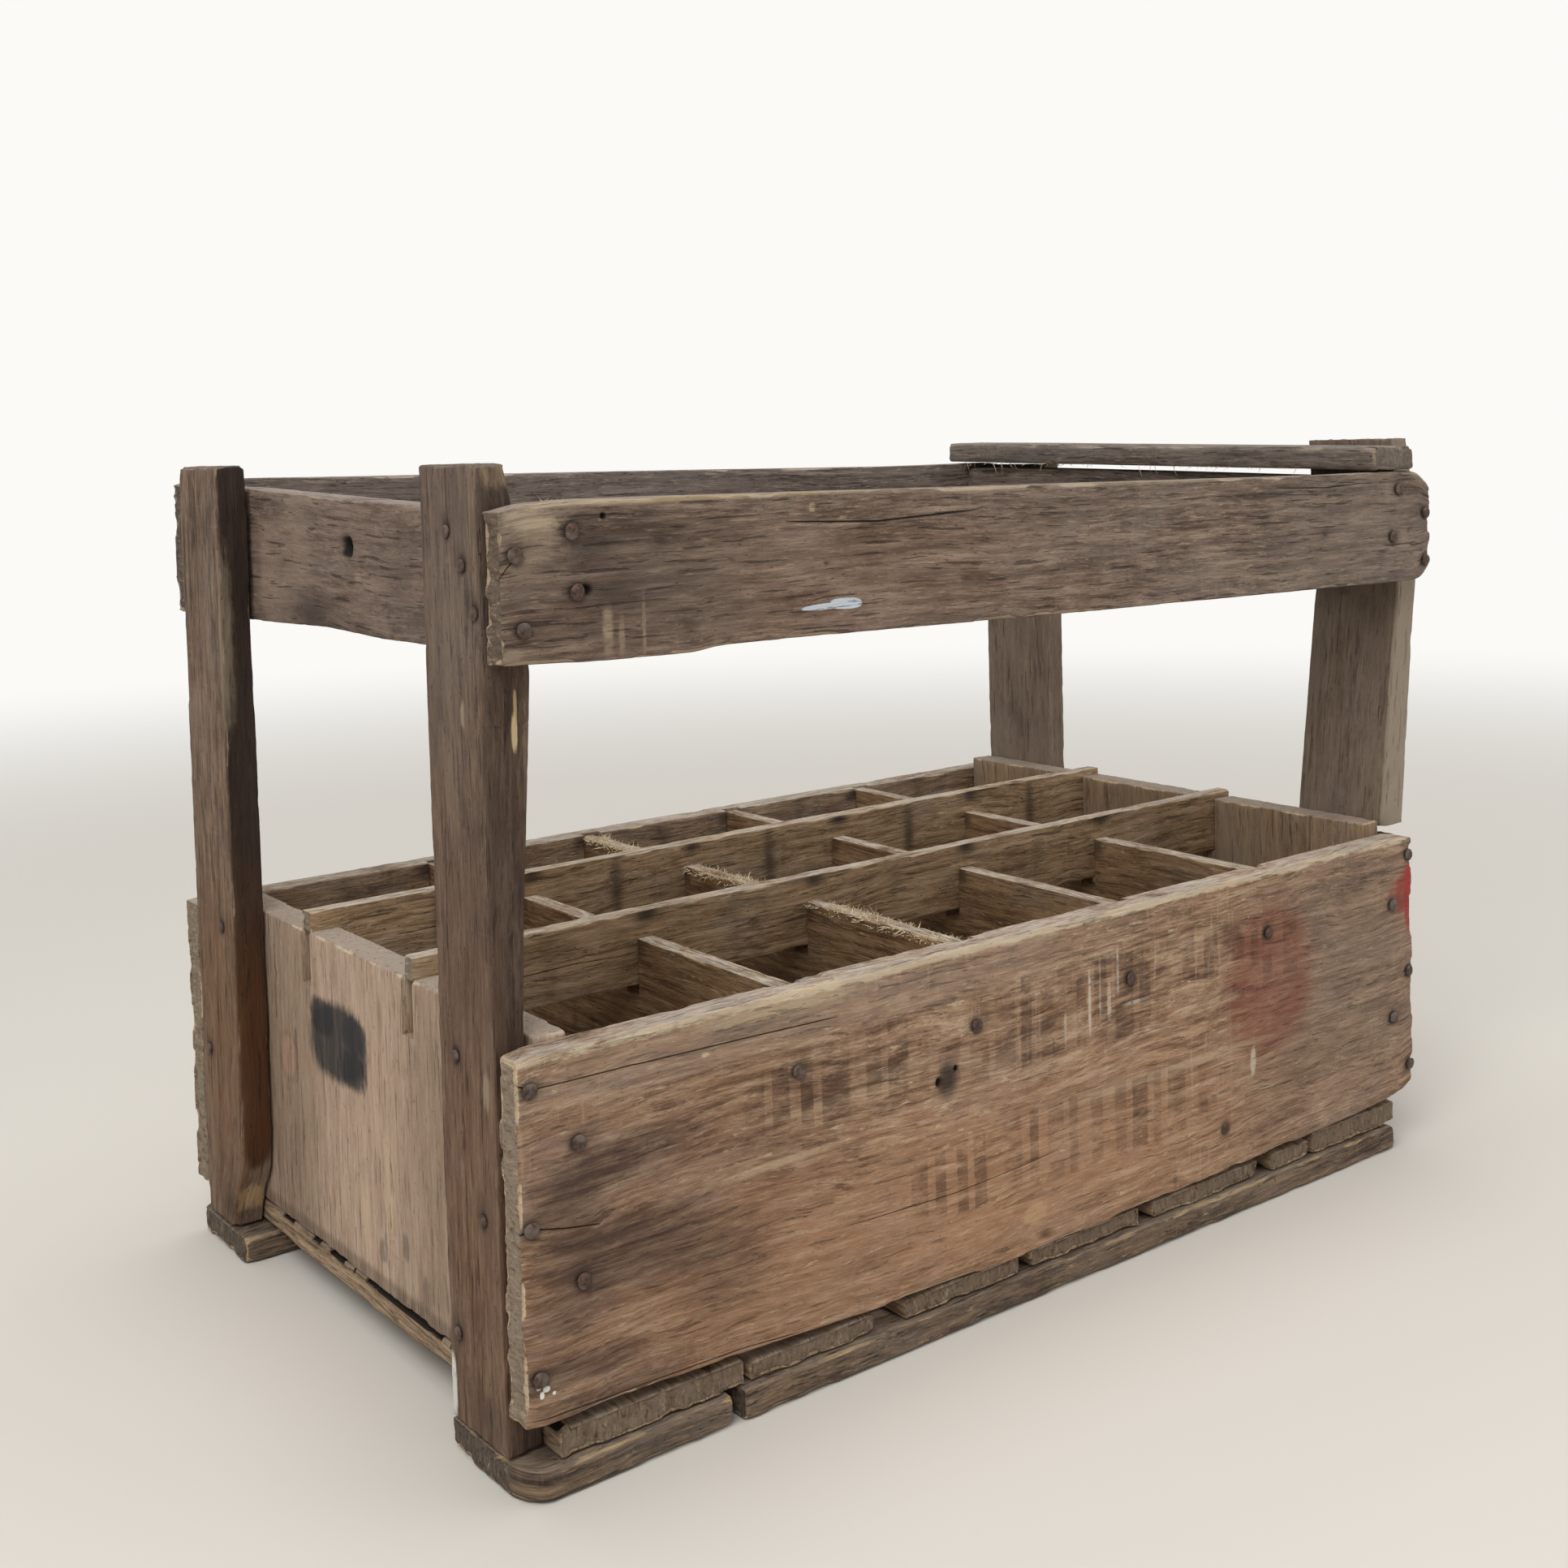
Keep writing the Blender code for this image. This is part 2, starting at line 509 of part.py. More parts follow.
def build_nails(crate):
    """Every nail as its own object on one shared mesh, and one cutter with all their holes."""
    iron = new_material("rusty_iron", NAIL_COLOUR, 0.72, 0.85)
    nail = turned_mesh("round_nail", nail_profile())
    nail.materials.append(iron)
    nail.shade_smooth()
    nail.set_sharp_from_angle(angle=SHARP_ANGLE)
    groups = (("front_board_nail", front_board_sites()), ("front_rail_nail", front_rail_sites()),
              ("left_post_nail", left_post_sites()))
    bores = bmesh.new()
    bore = turned_mesh("bore", bore_profile())
    for name, sites in groups:
        for number, (point, direction) in enumerate(sites, 1):
            turn = direction.to_track_quat("-Z", "Y").to_matrix().to_4x4()
            matrix = Matrix.Translation(point) @ turn
            crate.place(bpy.data.objects.new(f"{name}_{number}", nail), matrix)
            before = len(bores.verts)
            bores.from_mesh(bore)
            bores.verts.ensure_lookup_table()
            bmesh.ops.transform(bores, matrix=matrix, verts=bores.verts[before:])
    mesh = bpy.data.meshes.new("nail_bores")
    bores.to_mesh(mesh)
    bores.free()
    crate.bores = crate.cutter("nail_bores", mesh)


def box_cutter(crate, name, boxes):
    """A cutter of separate boxes, each given by its low corner and its high corner."""
    body = bmesh.new()
    for low, high in boxes:
        matrix = Matrix.Translation((low + high) / 2) @ Matrix.Diagonal((*(high - low), 1))
        bmesh.ops.create_cube(body, size=1, matrix=matrix)
    mesh = bpy.data.meshes.new(name)
    body.to_mesh(mesh)
    body.free()
    return crate.cutter(name, mesh)


def groove_boxes(start, end):
    """The dado grooves in one side board, a little wider than the cross dividers on their right side."""
    reach = DIVIDER_THICKNESS / 2 + GAP
    return [(Vector((centre - reach, start, BOARD_BASE - OVERRUN)),
             Vector((centre + reach + DADO_SLACK, end, BOARD_TOP + OVERRUN)))
            for centre in cross_divider_centres()]


def panel_slot_boxes(outer, top):
    """The slots in one end panel's top edge that carry the long strips."""
    reach = DIVIDER_THICKNESS / 2 + GAP
    return [(Vector((outer - OVERRUN, centre - reach, STRIP_BASE - GAP)),
             Vector((outer + PANEL_THICKNESS + OVERRUN, centre + reach, top + OVERRUN)))
            for centre in strip_centres()]


def build_side_boards(crate):
    """The front and back boards, grooved inside for the cross dividers."""
    boards = (("front_side_board", FRONT_BOARD_LOWER_SHARES, 0, INNER_FRONT - DADO_DEPTH),
              ("back_side_board", BACK_BOARD_LOWER_SHARES, INNER_BACK, INNER_BACK - OVERRUN))
    for name, lower_shares, start, groove_start in boards:
        groove_end = groove_start + DADO_DEPTH + OVERRUN
        grooves = box_cutter(crate, name + "_grooves", groove_boxes(groove_start, groove_end))
        crate.board(name, side_board_outline(lower_shares), BOARD_THICKNESS, FRONT_VIEW,
                    Vector((0, start, BOARD_BASE)), BROWN_WOOD, grooves=grooves)


def build_end_panels(crate):
    """The end panels, slotted in their top edges for the long strips."""
    for name, outer, top in (("left_end_panel", LEFT_PANEL_OUTER, LEFT_PANEL_TOP),
                             ("right_end_panel", RIGHT_PANEL_INNER, RIGHT_PANEL_TOP)):
        slots = box_cutter(crate, name + "_slots", panel_slot_boxes(outer, top))
        crate.board(name, rectangle(INNER_SPAN, top - PANEL_BASE), PANEL_THICKNESS, END_VIEW,
                    Vector((outer, POST_FRONT, PANEL_BASE)), TAN_WOOD, grooves=slots)


def build_posts(crate):
    """Four corner posts; the near right one has snapped above its foot and leans outwards."""
    inner = [(share * POST_THICKNESS, up * POST_HEIGHT) for up, share in NEAR_LEFT_POST_SHARES]
    crate.board("near_left_post", [(0, 0)] + inner + [(0, POST_HEIGHT)], NEAR_LEFT_POST_WIDTH, FRONT_VIEW,
                Vector((0, POST_FRONT, SLAT_BASE)), GREY_WOOD)
    near = [(share * FAR_LEFT_POST_WIDTH, up * POST_HEIGHT) for up, share in reversed(FAR_LEFT_POST_SHARES)]
    crate.board("far_left_post", near + [(FAR_LEFT_POST_WIDTH, 0), (FAR_LEFT_POST_WIDTH, POST_HEIGHT)],
                POST_THICKNESS, END_VIEW, Vector((0, POST_BACK - FAR_LEFT_POST_WIDTH, SLAT_BASE)), GREY_WOOD)
    inside = [(lean * POST_LEAN, up * NEAR_RIGHT_POST_HEIGHT) for up, lean, thick in NEAR_RIGHT_POST_SHARES]
    outside = [(lean * POST_LEAN + thick * RIGHT_POST_THICKNESS, up * NEAR_RIGHT_POST_HEIGHT)
               for up, lean, thick in reversed(NEAR_RIGHT_POST_SHARES)]
    crate.board("near_right_post_upper", inside + outside, NEAR_RIGHT_POST_WIDTH, FRONT_VIEW,
                Vector((RIGHT_POST_INNER, POST_FRONT, NEAR_RIGHT_POST_BASE)), GREY_WOOD)
    crate.board("near_right_post_stump", rectangle(RIGHT_POST_THICKNESS, STUMP_HEIGHT), NEAR_RIGHT_POST_WIDTH,
                FRONT_VIEW, Vector((RIGHT_POST_INNER, POST_FRONT, STUMP_BASE)), GREY_WOOD)
    crate.board("far_right_post", rectangle(RIGHT_POST_THICKNESS, far_right_post_height()),
                FAR_RIGHT_POST_WIDTH, FRONT_VIEW,
                Vector((RIGHT_POST_INNER, POST_BACK - FAR_RIGHT_POST_WIDTH, SLAT_BASE)), GREY_WOOD)


def build_rails(crate):
    """The carrying frame: two long rails, two cross rails between them and the plank on top."""
    front = share_outline(RAIL_LENGTH, RAIL_HEIGHT, FRONT_RAIL_LOWER_SHARES, FRONT_RAIL_UPPER_SHARES)
    crate.board("front_top_rail", front, RAIL_THICKNESS, FRONT_VIEW,
                Vector((RAIL_SETBACK, RAIL_FRONT, RAIL_BASE)), GREY_WOOD)
    back = share_outline(BACK_RAIL_LENGTH, BACK_RAIL_HEIGHT, BACK_RAIL_LOWER_SHARES, BACK_RAIL_UPPER_SHARES)
    crate.board("back_top_rail", back, RAIL_THICKNESS, FRONT_VIEW,
                Vector((RAIL_SETBACK, INNER_BACK, BACK_RAIL_BASE)), GREY_WOOD)
    crosses = (("left_cross_rail", left_cross_corner(), left_cross_angle(), LEFT_CROSS_RAIL_THICKNESS,
                LEFT_CROSS_RAIL_HEIGHT, LEFT_CROSS_LOWER_SHARES, LEFT_CROSS_UPPER_SHARES),
               ("right_cross_rail", right_cross_corner(), right_cross_angle(), RIGHT_CROSS_RAIL_THICKNESS,
                RIGHT_CROSS_RAIL_HEIGHT, RIGHT_CROSS_LOWER_SHARES, RIGHT_CROSS_UPPER_SHARES))
    for name, corner, angle, thickness, height, lower_shares, upper_shares in crosses:
        points = share_outline(cross_rail_length(thickness, angle), height, lower_shares, upper_shares)
        crate.board(name, points, thickness, END_VIEW, corner, GREY_WOOD, turn=Matrix.Rotation(angle, 4, "Z"))
    length = plank_length()
    rounded = corner_arc((PLANK_ROUND, PLANK_ROUND), PLANK_ROUND, 2)
    rounded += corner_arc((PLANK_WIDTH - PLANK_ROUND, PLANK_ROUND), PLANK_ROUND, 3)
    place = plank_place()
    crate.board("right_top_plank", rounded + [(PLANK_WIDTH, length), (0, length)], PLANK_THICKNESS, PLAN_VIEW,
                place.translation, DARK_WOOD, turn=place.to_3x3().to_4x4())


def build_bottle_grid(crate):
    """Four deep cross dividers in the boards' grooves, and two shallow strips dropped into their slots."""
    start = INNER_FRONT - DADO_DEPTH + GAP
    length = INNER_BACK + DADO_DEPTH - GAP - start
    height = CROSS_DIVIDER_TOP - BOARD_BASE
    slots = [centre - start for centre in strip_centres()]
    depth = CROSS_DIVIDER_TOP - STRIP_BASE + SLOT_UNDERCUT
    for number, centre in enumerate(cross_divider_centres(), 1):
        crate.board(f"cross_divider_{number}", slotted_outline(length, height, slots, depth),
                    DIVIDER_THICKNESS, END_VIEW,
                    Vector((centre - DIVIDER_THICKNESS / 2, start, BOARD_BASE)), BROWN_WOOD, rounding=0)
    strip_start = LEFT_PANEL_OUTER + STRIP_END_INSET
    strip_length = RIGHT_PANEL_OUTER - strip_start
    tab_base = STRIP_HEIGHT - STRIP_TAB_HEIGHT
    points = [(STRIP_TAB_LENGTH, 0), (strip_length, 0), (strip_length, STRIP_HEIGHT),
              (STRIP_END_INSET, STRIP_HEIGHT), (0, STRIP_HEIGHT - STRIP_END_INSET), (0, tab_base),
              (STRIP_TAB_LENGTH, tab_base)]
    for name, centre in zip(("front_long_divider", "back_long_divider"), strip_centres()):
        crate.board(name, points, DIVIDER_THICKNESS, FRONT_VIEW,
                    Vector((strip_start, centre - DIVIDER_THICKNESS / 2, STRIP_BASE)), BROWN_WOOD, rounding=0)


def build_floor(crate):
    """Three runners on the ground and seven slats laid across them."""
    front, back = RUNNER_SETBACK, DEPTH - RUNNER_SETBACK - RUNNER_WIDTH
    radius, width = RUNNER_CORNER_RADIUS, RUNNER_WIDTH
    split, restart = RUNNER_SPLIT - RUNNER_SPLIT_GAP / 2, RUNNER_SPLIT + RUNNER_SPLIT_GAP / 2
    near_corner = corner_arc((radius, radius), radius, 2)
    far_corner = corner_arc((radius, width - radius), radius, 1)
    right, back_end = RUNNER_END - restart, RIGHT_POST_OUTER
    runners = (("front_runner_left", near_corner + [(split, 0), (split, width), (0, width)], 0, front),
               ("front_runner_right", rectangle(right, width), restart, front),
               ("back_runner", [(0, 0), (back_end, 0), (back_end, width)] + far_corner, 0, back))
    for name, points, start, near in runners:
        crate.board(name, points, RUNNER_THICKNESS, PLAN_VIEW, Vector((start, near, 0)), DARK_WOOD)
    length = DEPTH - SLAT_SETBACK - SLAT_SETBACK
    spans = slat_spans()
    for number, (start, end) in enumerate(spans, 1):
        thickness = SLAT_THICKNESS + (END_SLAT_EXTRA if number in (1, len(spans)) else 0)
        crate.board(f"bottom_slat_{number}", rectangle(end - start, length), thickness, PLAN_VIEW,
                    Vector((start, SLAT_SETBACK, SLAT_BASE)), PALE_WOOD, rounding=0)


def main():
    """Build the crate."""
    clear_scene()
    crate = Crate()
    build_nails(crate)
    build_side_boards(crate)
    build_end_panels(crate)
    build_posts(crate)
    build_rails(crate)
    build_bottle_grid(crate)
    build_floor(crate)


main()
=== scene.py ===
"""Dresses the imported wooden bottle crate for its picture.

Each piece of wood is grown again as a worn timber over its CAD solid: a closed lattice of points that
follows the solid's own reach, with rounded and chipped edges, raised grain, cracks, nail dents and
rough sawn ends. Each nail gets a hammered head. Places on the crate are written in millimetres from
its near left corner on the ground: X along the front board, Y to the back, Z up.
"""

import logging
import math
from dataclasses import dataclass, field
from enum import Enum

import bpy
import numpy as np
from mathutils import Matrix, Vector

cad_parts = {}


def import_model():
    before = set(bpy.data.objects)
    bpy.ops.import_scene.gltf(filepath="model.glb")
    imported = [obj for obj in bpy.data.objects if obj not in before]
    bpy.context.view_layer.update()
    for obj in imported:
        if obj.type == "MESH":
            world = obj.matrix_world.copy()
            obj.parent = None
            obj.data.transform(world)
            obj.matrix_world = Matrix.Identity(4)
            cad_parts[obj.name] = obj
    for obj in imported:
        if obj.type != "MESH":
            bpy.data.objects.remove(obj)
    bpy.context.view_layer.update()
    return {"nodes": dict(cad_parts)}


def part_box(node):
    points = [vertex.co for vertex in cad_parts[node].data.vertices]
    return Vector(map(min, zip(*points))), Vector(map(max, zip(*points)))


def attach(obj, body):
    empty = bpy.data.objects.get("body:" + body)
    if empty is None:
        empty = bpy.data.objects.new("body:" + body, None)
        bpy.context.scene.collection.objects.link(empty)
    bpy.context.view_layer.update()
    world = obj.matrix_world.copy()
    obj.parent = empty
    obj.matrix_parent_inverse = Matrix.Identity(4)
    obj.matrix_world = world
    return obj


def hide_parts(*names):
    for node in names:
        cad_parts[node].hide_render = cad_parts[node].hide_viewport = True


Pair = tuple[float, float]
Triple = tuple[float, float, float]
Colour = tuple[float, float, float, float]
Socket = bpy.types.NodeSocket

LOG = logging.getLogger("crate")
MM = 0.001
GAP = 0.3 * MM
BEYOND = 1.0  # how far a notch runs on past its timber, in metres
ON_FACE = 0.01 * MM  # points nearer than this lie on a wide face
NOTHING = 1e-9  # shorter ways than this, in metres, count as none
DEEP = 1.5  # a deeper blemish, in millimetres, is a hole with lattice lines of its own
RIM_STEPS = np.array([0.0, 0.14, 0.34, 0.62, 1.0])  # where the closer lines at an end stand, as shares of it
HOLE_STEPS = (-1.15, -0.75, -0.3, 0.3, 0.75, 1.15)  # where the lines across a hole stand, in its radii
CROWDED = 0.45  # an even line closer than this share of the pitch to another one is left out
STATIONS = 240  # places along a timber at which its solid's reach is measured
HASH_MASK = 0xFFFFFFFF
HASH_AXES = np.array([73856093, 19349663, 83492791])
# The second colour is painted shade, laid into cracks, deep holes and the gnawed notch; the third darkens stains and is
# painted shade where it fills a deep hole.
SOOT_BLACK, HOLLOW_SHADE_BLACK, STAIN_AND_HOLE_SHADE_BLACK = "231913", "0d0806", "1d1715"


def tone(code: str) -> Colour:
    """A screen colour such as "8c7058" as a linear colour.

    Args:
        code: Six hexadecimal digits.

    Returns:
        Red, green, blue and an alpha of 1.
    """
    parts = [int(code[start:start + 2], 16) / 255 for start in (0, 2, 4)]
    return (*(part / 12.92 if part < 0.04045 else ((part + 0.055) / 1.055) ** 2.4 for part in parts), 1.0)


def lattice_noise(points: np.ndarray, seed: int) -> np.ndarray:
    """Smooth noise from -1 to 1.

    Formula: each whole-numbered corner round a point has a hashed value, and the eight values are
    blended with the fade t * t * (3 - 2 t) along each axis.

    Args:
        points: N by 3 places; one noise cell is one unit wide.
        seed: Chooses the pattern.

    Returns:
        N values.
    """
    base = np.floor(points)
    part = points - base
    fade = part * part * (3 - 2 * part)
    cell = base.astype(np.int64)
    total = np.zeros(len(points))
    for corner in range(8):
        offset = np.array([(corner >> axis) & 1 for axis in range(3)])
        weight = np.prod(np.where(offset == 1, fade, 1 - fade), axis=1)
        key = ((cell + offset) * HASH_AXES).sum(axis=1) + seed * 668265263
        for shift, factor in ((15, 2246822519), (13, 3266489917)):
            key = key & HASH_MASK
            key = ((key ^ (key >> shift)) * factor) & HASH_MASK
        total += weight * (key ^ (key >> 16))
    return total / HASH_MASK * 2 - 1


def fractal(points: np.ndarray, seed: int, octaves: int = 3) -> np.ndarray:
    """Octaves of smooth noise, each twice as fine and half as strong, scaled to stay from -1 to 1.

    Args:
        points: N by 3 places.
        seed: Chooses the pattern.
        octaves: How many layers.

    Returns:
        N values.
    """
    layers = [lattice_noise(points * 2 ** step, seed + step) * 0.5 ** step for step in range(octaves)]
    return sum(layers) / (2 - 0.5 ** (octaves - 1))


@dataclass(frozen=True)
class Ripple:
    """A layer of noise on a timber.

    Attributes:
        cells: Noise cells per millimetre along, across and through.
        seed: What is added to the timber's own seed.
        octaves: How many layers the noise has itself.
    """

    cells: Triple
    seed: int
    octaves: int = 2

    def over(self, place: np.ndarray, seed: int) -> np.ndarray:
        """Its values from -1 to 1 at places in millimetres."""
        return fractal(place * self.cells, seed + self.seed, self.octaves)


BREAKS = Ripple((0.05, 0.1, 0.1), 0, 4)
SLOW_WAVES = Ripple((0.011, 0.03, 0.03), 11, 3)
RAISED_GRAIN = Ripple((0.02, 0.36, 0.36), 23)
PITS = Ripple((0.06, 0.16, 0.16), 31)
SAW_MARKS = Ripple((0.3, 0.34, 0.12), 41)
SPLINTERS = Ripple((0.5, 0.62, 0.5), 43, 1)
NICKS = Ripple((0.22, 0.5, 0.5), 53)
TEETH = Ripple((0.085, 0.0, 0.0), 71, 3)


def smooth_step(values: np.ndarray, low: float, high: float) -> np.ndarray:
    """0 below low, 1 above high, and an S curve between them."""
    part = np.clip((values - low) / (high - low), 0, 1)
    return part * part * (3 - 2 * part)


class Lay(Enum):
    """The world axes of a timber's length, width and thickness."""

    BOARD_ALONG = (0, 2, 1)
    BOARD_ACROSS = (1, 2, 0)
    UPRIGHT = (2, 1, 0)
    FLAT_ALONG = (0, 1, 2)
    FLAT_ACROSS = (1, 0, 2)

    @property
    def axes(self) -> list[int]:
        """The three world axes."""
        return list(self.value)

    @property
    def mirrored(self) -> bool:
        """Whether length, width and thickness make a left-handed set."""
        length, width, _ = self.value
        return (width - length) % 3 != 1


class Side(Enum):
    """The faces that a blemish or a crack is on, by the sign of the thickness axis."""

    LOW = -1
    HIGH = 1
    BOTH = 0


@dataclass(frozen=True)
class Blemish:
    """A stain, dent or hole: an oval on a timber's wide face.

    Attributes:
        at: Its middle along and across the timber, in millimetres from the crate's corner.
        radii: Its radii along and across, in millimetres.
        stain: How dark it is, from 0 to 1; in a deep hole this darkness is painted shade.
        depth: How deep it is, in millimetres.
        sharp: The power of its fall; higher ones have a harder rim.
        side: The face that it is on.
    """

    at: Pair
    radii: Pair
    stain: float = 0.0
    depth: float = 0.0
    sharp: float = 2.0
    side: Side = Side.LOW


def blemishes(*rows: tuple[float, ...]) -> list[Blemish]:
    """Blemishes from rows of the place along and across, the radii, and the other fields in order."""
    return [Blemish((along, across), (long, wide), *rest) for along, across, long, wide, *rest in rows]


@dataclass(frozen=True)
class Crack:
    """A split that runs with the grain.

    Attributes:
        path: Points along and across the timber, in millimetres from the crate's corner.
        depth: How deep it is, in millimetres.
        width: Half its width, in millimetres.
        side: The face that it is on.
    """

    path: tuple[Pair, ...]
    depth: float = 1.2
    width: float = 0.35
    side: Side = Side.LOW


@dataclass(frozen=True)
class Notch:
    """A box cut out of a timber, in metres: two corners in the order length, width, thickness."""

    low: np.ndarray
    high: np.ndarray


def cut(lay: Lay, low: Triple, high: Triple) -> Notch:
    """A notch from two corners in the row frame."""
    return Notch(np.array(low)[lay.axes], np.array(high)[lay.axes])


def ruled(low: float, high: float, pitch: float, rim: float, firm: list[float]) -> np.ndarray:
    """Lattice lines between two places: even ones, closer ones inside both ends, and firm ones.

    Args:
        low: The first line.
        high: The last line.
        pitch: The even lines' distance.
        rim: How wide the closer zone at each end is.
        firm: Places that have to have a line.

    Returns:
        The lines in order.
    """
    even = np.linspace(low, high, max(int(round((high - low) / pitch)), 2) + 1)
    near = rim * RIM_STEPS
    inside = [place for place in firm if low + GAP / 3 < place < high - GAP / 3]
    kept = np.unique(np.round(np.concatenate([low + near, high - near, inside]), 7))
    kept = kept[(kept >= low) & (kept <= high)]
    free = np.abs(even[:, None] - kept).min(axis=1) > CROWDED * pitch
    return np.sort(np.concatenate([kept, even[free]]))


def lattice_shell(solid: np.ndarray) -> tuple[np.ndarray, np.ndarray]:
    """The closed skin of a block of lattice cells.

    Formula: along each axis, a face lies wherever a full cell meets an empty one, and its four
    corners are the lattice points round it, ordered so that the face looks out of the full cell.

    Args:
        solid: Which cells are full, as a three-way array.

    Returns:
        The lattice indices of the points used, N by 3, and the faces as rows of four point numbers.
    """
    counts = np.array(solid.shape) + 1
    padded = np.pad(solid, 1)
    faces = []
    for axis in range(3):
        first, second = (axis + 1) % 3, (axis + 2) % 3
        moved = np.moveaxis(padded, (axis, first, second), (0, 1, 2))[:, 1:-1, 1:-1]
        for outward in (True, False):
            full, empty = (moved[:-1], moved[1:]) if outward else (moved[1:], moved[:-1])
            plane, row, column = np.nonzero(full & ~empty)
            ring = ((0, 0), (1, 0), (1, 1), (0, 1)) if outward else ((0, 0), (0, 1), (1, 1), (1, 0))
            corners = np.zeros((len(plane), 4, 3), np.int64)
            corners[:, :, axis] = plane[:, None]
            corners[:, :, first] = row[:, None] + np.array([step[0] for step in ring])
            corners[:, :, second] = column[:, None] + np.array([step[1] for step in ring])
            faces.append(corners)
    corners = np.concatenate(faces)
    keys = (corners[..., 0] * counts[1] + corners[..., 1]) * counts[2] + corners[..., 2]
    used, numbers = np.unique(keys, return_inverse=True)
    points = np.stack([used // (counts[1] * counts[2]), used // counts[2] % counts[1], used % counts[2]], axis=1)
    return points, numbers.reshape(keys.shape)


def tube(rings: int, sectors: int, inward: bool = False) -> np.ndarray:
    """Triangles between rings of points that follow each other.

    Args:
        rings: How many rings.
        sectors: Points in a ring.
        inward: Turns the triangles round.

    Returns:
        M by 3 point numbers.
    """
    row, column = np.meshgrid(np.arange(rings - 1), np.arange(sectors), indexing="ij")
    here, ahead = row * sectors + column, row * sectors + (column + 1) % sectors
    quads = np.stack([here, here + sectors, ahead + sectors, ahead], axis=-1).reshape(-1, 4)
    if inward:
        quads = quads[:, [0, 3, 2, 1]]
    return np.concatenate([quads[:, [0, 1, 2]], quads[:, [0, 2, 3]]])


def place_mesh(name: str, points: np.ndarray, faces: np.ndarray, material: bpy.types.Material,
               sharp_angle: float = 50.0) -> bpy.types.Object:
    """Puts points and faces of equal corner counts into a new object at the origin.

    Args:
        name: The object's name.
        points: N by 3 places in the row frame, in metres.
        faces: M by K point numbers.
        material: What it is made of.
        sharp_angle: Edges that bend more than this, in degrees, stay sharp.

    Returns:
        The linked object.
    """
    mesh = bpy.data.meshes.new(name)
    count, corners = faces.shape
    mesh.vertices.add(len(points))
    mesh.vertices.foreach_set("co", points.astype(np.float32).ravel())
    mesh.loops.add(count * corners)
    mesh.loops.foreach_set("vertex_index", faces.astype(np.int32).ravel())
    mesh.polygons.add(count)
    mesh.polygons.foreach_set("loop_start", np.arange(0, count * corners, corners, dtype=np.int32))
    mesh.update(calc_edges=True)
    mesh.polygons.foreach_set("use_smooth", np.ones(count, bool))
    mesh.set_sharp_from_angle(angle=math.radians(sharp_angle))
    mesh.materials.append(material)
    thing = bpy.data.objects.new(name, mesh)
    bpy.context.scene.collection.objects.link(thing)
    return thing


def add_marks(thing: bpy.types.Object, place: np.ndarray, marks: np.ndarray, upward: np.ndarray) -> None:
    """Stores what the materials read at each point.

    Args:
        thing: The mesh object.
        place: N by 3, the point's place along, across and through the timber, in metres.
        marks: N by 4: edge wear, stain (painted shade where it fills a deep hole), painted shade in hollows, and end
            grain, each from 0 to 1.
        upward: How far the surface faces up, from 0 to 1.
    """
    attributes = thing.data.attributes
    attributes.new("upward", "FLOAT", "POINT").data.foreach_set("value", upward.astype(np.float32))
    attributes.new("place", "FLOAT_VECTOR", "POINT").data.foreach_set("vector", place.astype(np.float32).ravel())
    attributes.new("marks", "FLOAT_COLOR", "POINT").data.foreach_set("color", marks.astype(np.float32).ravel())


class Reach:
    """How far a CAD solid reaches across and through, at stations along its length."""

    def __init__(self, node: bpy.types.Object, lay: Lay, follow: tuple[bool, bool]) -> None:
        """Slices the solid.

        Formula: each mesh edge that crosses a station's plane gives a point, and the lowest and highest
        of these points are the reach there, smoothed over nine stations. An axis that isn't followed
        keeps the whole box.

        Args:
            node: The CAD node's object.
            lay: The timber's axes.
            follow: Whether the reach is followed across and through.
        """
        mesh = node.data
        places = np.zeros(len(mesh.vertices) * 3)
        mesh.vertices.foreach_get("co", places)
        places = places.reshape(-1, 3)[:, lay.axes]
        ends = np.zeros(len(mesh.edges) * 2, np.int64)
        mesh.edges.foreach_get("vertices", ends)
        first, second = places[ends[::2]], places[ends[1::2]]
        self.low, self.high = places.min(axis=0), places.max(axis=0)
        self.stations = np.linspace(self.low[0] + 1 * MM, self.high[0] - 1 * MM, STATIONS)
        rise = second[:, 0] - first[:, 0]
        level_edge = np.abs(rise) < NOTHING
        part = (self.stations[:, None] - first[:, 0]) / np.where(level_edge, 1.0, rise)
        crossed = (part >= 0) & (part <= 1) & ~level_edge
        self.edges = []
        kernel = np.hanning(9) / np.hanning(9).sum()
        for axis, wanted in zip((1, 2), follow):
            if not wanted:
                self.edges.append(np.tile([self.low[axis], self.high[axis]], (STATIONS, 1)))
                continue
            level = first[:, axis] + part * (second[:, axis] - first[:, axis])
            lower = np.where(crossed, level, np.inf).min(axis=1)
            upper = np.where(crossed, level, -np.inf).max(axis=1)
            smooth = [np.convolve(np.pad(line, 4, mode="edge"), kernel, "valid") for line in (lower, upper)]
            self.edges.append(np.stack(smooth, axis=1))
        self.size = np.array([self.high[0] - self.low[0]]
                             + [float((pair[:, 1] - pair[:, 0]).mean()) for pair in self.edges])

    def at(self, along: np.ndarray, which: int) -> tuple[np.ndarray, np.ndarray]:
        """The reach across (0) or through (1) at places along the timber."""
        pair = self.edges[which]
        return np.interp(along, self.stations, pair[:, 0]), np.interp(along, self.stations, pair[:, 1])


